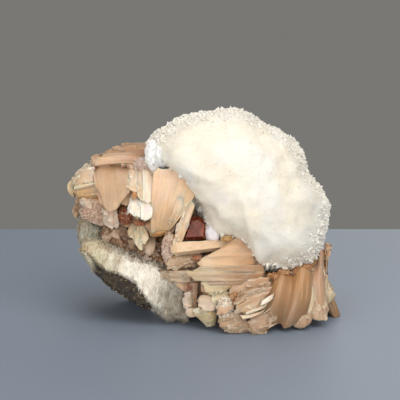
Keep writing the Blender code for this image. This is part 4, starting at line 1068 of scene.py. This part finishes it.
def add_plates(batch, roots, way, outward, size, tones, rng):
    """Thin pointed plates on a surface. tones has the colour of their roots and that of their tips."""
    count = len(roots)
    side = unit(np.cross(way, outward) + outward * rng.normal(0, 0.3, (count, 1)))
    up = np.cross(side, way)
    long = (rng.uniform(0.5, 1.2, (count, 1)) * size)[:, None]
    wide = long * rng.uniform(0.15, 0.32, (count, 1, 1))
    spots = PLATE_OUTLINE + rng.uniform(-0.12, 0.12, (count, 6, 2))
    top = roots[:, None] + way[:, None] * spots[..., :1] * long + side[:, None] * spots[..., 1:] * wide
    low = top - up[:, None] * rng.uniform(0.3, 0.6, (count, 1, 1))
    shapes = np.concatenate((top, low), 1)
    lid = [(0, i, i + 1) for i in range(1, 5)]
    base = [(6 + a, 6 + c, 6 + b) for a, b, c in lid]
    walls = [(i, i + 6, (i + 1) % 6 + 6, (i + 1) % 6) for i in range(6)]
    one = np.concatenate((lid, base, triangulated(np.array(walls))))
    one = facing_out(shapes[0] - shapes[0].mean(0), one)
    shade = rng.uniform(0.0, 0.7, (count, 1)) + np.tile(PLATE_SHADE, 2)
    start, end = (np.broadcast_to(tone, (count, 3))[:, None] for tone in tones)
    tint = mixed_colour(start, end, np.clip(shade, 0, 1)).reshape(-1, 3)
    batch.add(shapes, repeated(one, 12, count), tint)


def open_places(roots, directions, tree, reach):
    """Whether nothing of the tree lies within reach mm in front of each place."""
    rays = zip(roots, directions)
    return np.array([tree.ray_cast(Vector(r), Vector(d), reach)[0] is None for r, d in rays])


def covered(points, tree, within):
    """Whether a blade of the tree lies in front of each place, or less than within mm behind it."""
    ahead = Vector(FORWARD)
    hits = [tree.ray_cast(Vector(p) - ahead * within, ahead, within + 9.0)[0] is not None for p in points]
    return np.array(hits)


def behind_blades(points, tree):
    """The same places, those that stand in front of a blade moved to behind its face."""
    ahead = Vector(FORWARD)
    moved = points.copy()
    for number, point in enumerate(points):
        hit = tree.ray_cast(Vector(point) + ahead * 40.0, -ahead, 43.5)[0]
        if hit is not None:
            moved[number] -= FORWARD * max(0.0, BEHIND_MM - (hit - Vector(point)).dot(ahead))
    return moved


def add_flakes(batch, points, triangles, count, origin, rng, tree):
    """Plates that lie over a surface like shingles and point away from an origin."""
    roots, outward = scatter(points, triangles, count, rng)
    across, _, deep = np.moveaxis(seen(roots), -1, 0)
    bare = (np.abs(outward @ FORWARD) > 0.3) | (deep > 16.0)
    if tree is not None:
        bare = bare & ~covered(roots, tree, 4.0) & (deep > -2.0) & (across < 43.0)
    roots = roots[bare]
    outward = outward[bare]
    run = roots - place(origin) + rng.normal(0, 2.5, roots.shape)
    run = unit(run - outward * np.sum(run * outward, -1, keepdims=True))
    way = unit(run + outward * rng.uniform(0.0, 0.16, (len(roots), 1)))
    add_plates(batch, roots, way, outward, FLAKE_MM, FLAKE_TONES, rng)


def add_node(material, kind, values, links):
    """A shader node with its plain values and its links, both by socket."""
    node = material.node_tree.nodes.new(kind)
    for socket, value in values.items():
        node.inputs[socket].default_value = value
    for socket, source in links.items():
        material.node_tree.links.new(source, node.inputs[socket])
    return node


def add_noise(material, vector, scale):
    """Noise over a vector, from 0 to 1."""
    values = {"Scale": scale, "Detail": 4.0}
    return add_node(material, "ShaderNodeTexNoise", values, {"Vector": vector}).outputs["Fac"]


def add_range(material, value, low, high):
    """The middle part of a noise's values spread from low to high."""
    values = {"From Min": 0.3, "From Max": 0.7, "To Min": low, "To Max": high}
    return add_node(material, "ShaderNodeMapRange", values, {"Value": value}).outputs["Result"]


def add_level(material, colour, value):
    """A colour made lighter or darker by a value around 1."""
    node = add_node(material, "ShaderNodeVectorMath", {}, {})
    node.operation = "SCALE"
    material.node_tree.links.new(colour, node.inputs[0])
    material.node_tree.links.new(value, node.inputs["Scale"])
    return node.outputs["Vector"]


def add_bump(material, distance, strength, links):
    """Relief of a surface."""
    values = {"Strength": strength, "Distance": distance}
    return add_node(material, "ShaderNodeBump", values, links).outputs["Normal"]


def attribute_node(material, name):
    """A node that reads what the mesh stores under the name."""
    node = material.node_tree.nodes.new("ShaderNodeAttribute")
    node.attribute_name = name
    return node


def mineral(name, streak, speckle, rough, bump_mm, values):
    """A tinted mineral: streaks along its crystals, fine speckles, uneven gloss and fine relief."""
    material = bpy.data.materials.new(name)
    material.use_nodes = True
    tree = material.node_tree
    shader = tree.nodes["Principled BSDF"]
    for socket, value in values.items():
        shader.inputs[socket].default_value = value
    tint = attribute_node(material, "tint")
    grain = attribute_node(material, "grain")
    coordinates = tree.nodes.new("ShaderNodeTexCoord")
    streaks = add_noise(material, grain.outputs["Vector"], streak[0])
    speckles = add_noise(material, coordinates.outputs["Object"], speckle[0])
    colour = add_level(material, tint.outputs["Color"], add_range(material, streaks, *streak[1:]))
    colour = add_level(material, colour, add_range(material, speckles, *speckle[1:]))
    tree.links.new(colour, shader.inputs["Base Color"])
    tree.links.new(add_range(material, speckles, *rough), shader.inputs["Roughness"])
    relief = add_bump(material, bump_mm * MM, 1.0, {"Height": streaks})
    relief = add_bump(material, bump_mm * MM, 0.5, {"Height": speckles, "Normal": relief})
    tree.links.new(relief, shader.inputs["Normal"])
    return material


MATERIALS = {name: mineral(name, *row) for name, row in FINISHES.items()}


def ball_outline(across, up):
    """How far the ball's outline is from its middle, the way each place lies."""
    edge = BALL_OUTLINE - BALL_MIDDLE[:2]
    around = np.arctan2(edge[:, 1], edge[:, 0])
    return np.interp(np.arctan2(up, across), around, np.hypot(*edge.T), period=math.tau)


def ball_radius(directions):
    """The ball's radius in mm in directions (across, up, deep), without its needles."""
    across, up, deep = np.moveaxis(directions, -1, 0)
    depth = np.where(deep < 0, BALL_FRONT, BALL_BACK)
    flat = np.sqrt(across ** 2 + up ** 2) / ball_outline(across, up)
    radius = (flat ** BALL_SQUARENESS + np.abs(deep / depth) ** BALL_SQUARENESS) ** (-1 / BALL_SQUARENESS)
    for middle, reach, height in BALL_RELIEF.values():
        away = directions * radius[..., None] + BALL_MIDDLE - np.array(middle)
        radius = radius + height * np.exp(-(np.linalg.norm(away, axis=-1) / reach) ** 2)
    return radius


def ball_surface(subdivisions, extra):
    """The ball's body: its radius and extra mm, with clumps about as wide as its sprays."""
    directions, triangles = round_mesh(subdivisions)
    offset = directions * (ball_radius(directions) + extra)[:, None]
    bumps = sum(height * soft_noise(offset, width, seed) for height, width, seed in BALL_BUMPS)
    return place(BALL_MIDDLE + offset + directions * (BALL_ROUGH * bumps)[:, None]), triangles


def snow_tint(points):
    """White with a cream and a faint pink cast, and tan painted shade where the ball folds."""
    warm = smoothstep(0.5 + 0.9 * soft_noise(points, 7.0, 5) + 0.4 * soft_noise(points, 3.0, 6))
    pink = smoothstep(0.9 * soft_noise(points, 6.0, 7))
    level = 1 + 0.04 * soft_noise(points, 5.0, 8) + 0.03 * soft_noise(points, 2.0, 9)
    tint = mixed_colour(SNOW, CREAM, warm)
    tint = mixed_colour(tint, PINK, 0.6 * pink) * level[:, None]
    at = seen(points)
    # Painted shade: tan mixed in where the ball folds
    for middle, reach, strength in SHADED_FOLDS:
        near = np.exp(-(np.linalg.norm(at - np.array(middle), axis=-1) / reach) ** 2)
        tint = mixed_colour(tint, FOLD_SHADE, near * strength)
    return tint


def off_front(points, triangles):
    """A share for each triangle: whole round the ball's outline and on its back, none on its front."""
    at = seen(points[triangles].mean(1)) - BALL_MIDDLE
    flat = np.hypot(at[:, 0], at[:, 1]) / ball_outline(at[:, 0], at[:, 1])
    return np.maximum(smoothstep((flat - OUTLINE_SHARE) / 0.12), smoothstep(at[:, 2] / 4.0))


def ball_pieces():
    """The white ball: a lumpy body under sprays of needles."""
    points, triangles = ball_surface(6, -0.3)
    body = Batch()
    body.add(points, triangles, snow_tint(points))
    write_piece("scolecite_body", body, "scolecite", "scolecite_ball", True)

    neighbours = Batch()
    for node in (
        "stilbite_upper_cluster", "stilbite_lower_cluster", "stilbite_back_cluster",
        "fibrous_crust", "heulandite_crystal",
    ):
        neighbours.add(*node_mesh(node), SNOW)
    rng = np.random.default_rng(7)
    rows = sprays(points, triangles, BALL_TUFTS, BALL_TUFT_NEEDLES, BALL_RISE_MM, rng, neighbours.tree())
    total = len(rows[0])
    for part in range(NEEDLE_MESHES):
        some = slice(part * total // NEEDLE_MESHES, (part + 1) * total // NEEDLE_MESHES)
        roots, way, length, radius = (row[some] for row in rows)
        coat = Batch()
        coat.add(*needles(roots, way, length, radius), np.repeat(snow_tint(roots), 4, 0))
        name = f"scolecite_needles_{part + 1}"
        write_piece(name, coat, "scolecite_needles", "scolecite_ball")


def ball_crumbs():
    """Coarser crystals that make the ball's outline uneven."""
    points, triangles = ball_surface(5, -0.1)
    wanted = off_front(points, triangles)
    coarse = Batch()
    for count, size, seed in BALL_CRUMBS:
        rng = np.random.default_rng(seed)
        crumbs(coarse, points, triangles, count, size, CRUMB_LIGHT, CRUMB_DARK, rng, wanted)
    write_piece("scolecite_crumbs", coarse, "scolecite_needles", "scolecite_ball")


def tuft_pieces():
    """The snow-white tuft: lobes covered in short needles."""
    rng = np.random.default_rng(17)
    body = Batch()
    coat = Batch()
    for row in TUFT_LUMPS:
        points, triangles = lump_surface(row, 4, 0.2)
        body.add(points, triangles, TUFT_TINT)
        rows = sprays(points, triangles, TUFT_SPRAYS, TUFT_SPRAY_NEEDLES, TUFT_RISE_MM, rng)
        coat.add(*needles(*rows), TUFT_NEEDLE_TINT)
    write_piece("tuft_body", body, "scolecite", "scolecite_tuft", True)
    write_piece("tuft_needles", coat, "scolecite_needles", "scolecite_tuft")


def accent_piece():
    """The small smooth crystals on the ball's edge."""
    accents = Batch()
    for row, tint in ACCENTS:
        accents.add(*lump_surface(row, 3), tint)
    write_piece("ball_accents", accents, "scolecite", "scolecite_ball", True)


def add_heart(cluster, node, tree):
    """The cluster's rough heart, kept behind its blades: its points and triangles."""
    def relief(points):
        seed = cluster.seed
        shift = -0.5 + 0.3 * soft_noise(points, 1.4, seed) + 0.2 * soft_noise(points, 0.6, seed + 1)
        return shift - 1.2 * smoothstep((seen(points)[:, 0] - HEART_RIGHT_END) / 2)

    points, triangles = raised_node(node, 1.6, relief)
    if tree is not None:
        points = behind_blades(points, tree)
    above_floor(points)
    base = Batch()
    base.add(points, triangles, base_tint(points, HEART_LIGHT, HEART_DARK))
    write_piece(f"{cluster.name}_heart", base, "stilbite", node, True)
    return points, triangles


def cluster_pieces(cluster):
    """A stilbite cluster: its blades, its rough heart, and fine crystals between them."""
    node = f"stilbite_{cluster.name}_cluster"
    grown = Batch()
    fine = Batch()
    for number, (label, row) in enumerate(cluster.blades.items()):
        add_blade(grown, fine, row, SCALES.get(label), cluster.seed * 100 + number)
    tree = grown.tree() if cluster.blades else None
    sheaves = list(cluster.sheaves)
    for row in cluster.skirts:
        sheaves += skirt_rows(row, cluster.skirt_tone)
    for number, row in enumerate(sheaves):
        add_sheaf(grown, row, cluster.seed * 200 + number)
    grown.lift()
    write_piece(f"{cluster.name}_blades", grown, "stilbite", node, True)

    points, triangles = add_heart(cluster, node, tree)
    rng = np.random.default_rng(cluster.seed)
    add_flakes(fine, points, triangles, cluster.flakes, cluster.origin, rng, tree)
    for row in cluster.druses.values():
        points, triangles = lump_surface(row, 3)
        fine.add(points, triangles, mixed_colour(row.dark, row.light, np.full(len(points), 0.4)))
        crumbs(fine, points, triangles, row.count, row.size, row.light, row.dark, rng)
    fine.lift()
    write_piece(f"{cluster.name}_druse", fine, "druse", node)


def bar_piece():
    """The pale bar, its faces slightly uneven."""
    points, triangles = raised_node("stilbite_bar", 0.8, lambda at: 0.14 * soft_noise(at, 1.3, 8))
    bar = Batch()
    bar.add(points, triangles, base_tint(points, (0.72, 0.52, 0.33), (0.66, 0.46, 0.29)))
    write_piece("bar_crystal", bar, "pale_stilbite", "stilbite_bar")


def heulandite_piece():
    """The dark red crystal with a few crumbs on it."""
    points, triangles = raised_node("heulandite_crystal", 0.9, lambda at: 0.08 * soft_noise(at, 0.9, 9))
    body = Batch()
    body.add(points, triangles, base_tint(points, (0.42, 0.085, 0.025), (0.22, 0.035, 0.012)))
    rng = np.random.default_rng(11)
    crumbs(body, points, triangles, 60, 0.5, (0.62, 0.30, 0.20), (0.40, 0.10, 0.05), rng)
    write_piece("heulandite_tablet", body, "heulandite", "heulandite_crystal")


def hollow_pieces():
    """The brown lining of the hollow, with small and large crystals."""
    points, triangles = raised_node("hollow_crystals", 1.2, lambda at: 0.2 * soft_noise(at, 0.9, 10) - 0.1)
    body = Batch()
    body.add(points, triangles, base_tint(points, (0.46, 0.27, 0.16), (0.24, 0.12, 0.06)))
    rng = np.random.default_rng(19)
    crumbs(body, points, triangles, 300, 1.3, (0.54, 0.36, 0.24), (0.28, 0.15, 0.08), rng)
    crumbs(body, points, triangles, 70, 4.2, (0.64, 0.47, 0.34), (0.38, 0.24, 0.15), rng)
    write_piece("hollow_druse", body, "druse", "hollow_crystals")


def crust_tint(points):
    """Cream at the left, white in the middle partly as painted highlight, grey on the knob, grey at the
    lower right partly as painted shade, and brown patches of painted shade higher up.
    """
    across, up, _ = np.moveaxis(seen(points), -1, 0)
    # The white middle is partly the crust's own white and partly a painted highlight where it faces the
    # light
    tint = mixed_colour((0.70, 0.63, 0.45), (0.96, 0.91, 0.80), smoothstep((across + 38) / 11))
    # Grey at the lower right: partly the crust's own grey, partly painted shade where it curves under
    grey = smoothstep((across + 21) / 10) * smoothstep((-27 - up) / 9)
    tint = mixed_colour(tint, (0.34, 0.30, 0.23), 0.9 * grey)
    knob = smoothstep((up + 16) / 3) * smoothstep((-36 - across) / 4)
    tint = mixed_colour(tint, (0.56, 0.56, 0.46), knob)
    brown = smoothstep(0.2 - 1.0 * fibre_noise(points, 1.5, 61)) * 0.5
    tint = mixed_colour(tint, (0.42, 0.31, 0.19), brown)
    # Painted shade: brown patches over the crust's upper part
    shaded = smoothstep(0.5 + soft_noise(points, 4.5, 62)) * smoothstep((up + 27) / 5)
    return mixed_colour(tint, (0.46, 0.32, 0.19), 0.5 * shaded)


def crust_pieces():
    """The fibrous crust: a ridged body and loose fibres on it."""
    def ridges(points):
        return 0.7 * fibre_noise(points, 1.6, 12) + 0.3 * fibre_noise(points, 0.8, 13) - 0.4

    points, triangles = raised_node("fibrous_crust", 1.0, ridges)
    points = above_floor(points)
    body = Batch()
    body.add(points, triangles, crust_tint(points) * 0.92)
    write_piece("crust_body", body, "fibrous_zeolite", "fibrous_crust", True)

    rng = np.random.default_rng(23)
    roots, outward = scatter(points, triangles, FIBRES, rng)
    run = CRUST_RUN * rng.choice((-1.0, 1.0), (FIBRES, 1), p=(0.2, 0.8))
    run = run - outward * np.sum(run * outward, -1, keepdims=True)
    way = unit(run + outward * rng.uniform(0.15, 0.7, (FIBRES, 1)) + rng.normal(0, 0.2, (FIBRES, 3)))
    length = rng.uniform(0.8, 2.4, FIBRES)
    shapes, faces = needles(roots - way * 0.3, way, length, rng.uniform(0.10, 0.22, FIBRES))
    shade = rng.uniform(0.78, 1.04, (FIBRES, 1))
    fibres = Batch()
    fibres.add(above_floor(shapes), faces, np.repeat(crust_tint(roots) * shade, 4, 0))
    write_piece("crust_fibres", fibres, "fibrous_zeolite", "fibrous_crust")


def basalt_pieces():
    """The dark rock, paler at its left end, with dark and pale crumbs."""
    def bumps(points):
        return 0.5 * soft_noise(points, 2.2, 14) + 0.35 * soft_noise(points, 0.9, 15) - 0.1

    points, triangles = raised_node("basalt_matrix", 0.8, bumps)
    points = above_floor(points)
    across = seen(points)[:, 0]
    tint = base_tint(points, (0.045, 0.03, 0.014), (0.012, 0.008, 0.005))
    at_left = smoothstep((-38.5 - across) / 3)
    body = Batch()
    body.add(points, triangles, mixed_colour(tint, (0.50, 0.45, 0.34), 0.85 * at_left))
    rng = np.random.default_rng(29)
    right_part = 1 - smoothstep((-36.5 - across[triangles[:, 0]]) / 3)
    crumbs(body, points, triangles, 1500, 0.45, (0.10, 0.07, 0.03), (0.01, 0.007, 0.005), rng, right_part)
    crumbs(body, points, triangles, 420, 0.5, (0.62, 0.52, 0.33), (0.22, 0.17, 0.08), rng)
    body.lift()
    write_piece("basalt_rock", body, "basalt", "basalt_matrix")


def make_floor():
    """A plain floor that ends a little way behind the specimen."""
    material = bpy.data.materials.new("floor")
    material.use_nodes = True
    shader = material.node_tree.nodes["Principled BSDF"]
    shader.inputs["Base Color"].default_value = FLOOR_TINT
    shader.inputs["Roughness"].default_value = FLOOR_ROUGHNESS
    mesh = bpy.data.meshes.new("floor")
    front = [(side * FLOOR_HALF_M, FLOOR_NEAR_M, 0) for side in (-1, 1)]
    back = [(side * FLOOR_HALF_M, FLOOR_FAR_M, 0) for side in (1, -1)]
    mesh.from_pydata(front + back, [], [(0, 1, 2, 3)])
    mesh.materials.append(material)
    floor = bpy.data.objects.new("floor", mesh)
    bpy.context.scene.collection.objects.link(floor)


def add_light(name, place_m, size_m, watts, colour):
    """A soft round light that points at the specimen."""
    light = bpy.data.lights.new(name, "AREA")
    light.shape = "DISK"
    light.size = size_m
    light.energy = watts
    light.color = colour
    lamp = bpy.data.objects.new(name, light)
    lamp.location = place_m
    towards = Vector(MIDDLE_MM) * MM - lamp.location
    lamp.rotation_euler = towards.to_track_quat("-Z", "Y").to_euler()
    bpy.context.scene.collection.objects.link(lamp)


def make_light():
    """The even backdrop and the lights."""
    world = bpy.data.worlds.new("studio")
    world.use_nodes = True
    world.node_tree.nodes["Background"].inputs["Color"].default_value = BACKDROP
    bpy.context.scene.world = world
    for name, row in LIGHTS.items():
        add_light(name, *row)


def make_camera():
    """The camera, at the height and distance that the places of the tables stand for."""
    data = bpy.data.cameras.new("camera")
    data.lens = LENS_MM
    data.sensor_width = SENSOR_MM
    data.clip_start = 0.01
    camera = bpy.data.objects.new("camera", data)
    away = Vector((0.0, -math.cos(LEAN), math.sin(LEAN)))
    camera.location = Vector(MIDDLE_MM) * MM + away * VIEW_MM * MM
    camera.rotation_euler = (-away).to_track_quat("-Z", "Y").to_euler()
    bpy.context.scene.collection.objects.link(camera)
    bpy.context.scene.camera = camera


bpy.context.scene.view_settings.view_transform = "Standard"
make_camera()
make_light()
make_floor()
ball_pieces()
ball_crumbs()
tuft_pieces()
accent_piece()
for cluster in CLUSTERS:
    cluster_pieces(cluster)
bar_piece()
heulandite_piece()
hollow_pieces()
crust_pieces()
basalt_pieces()
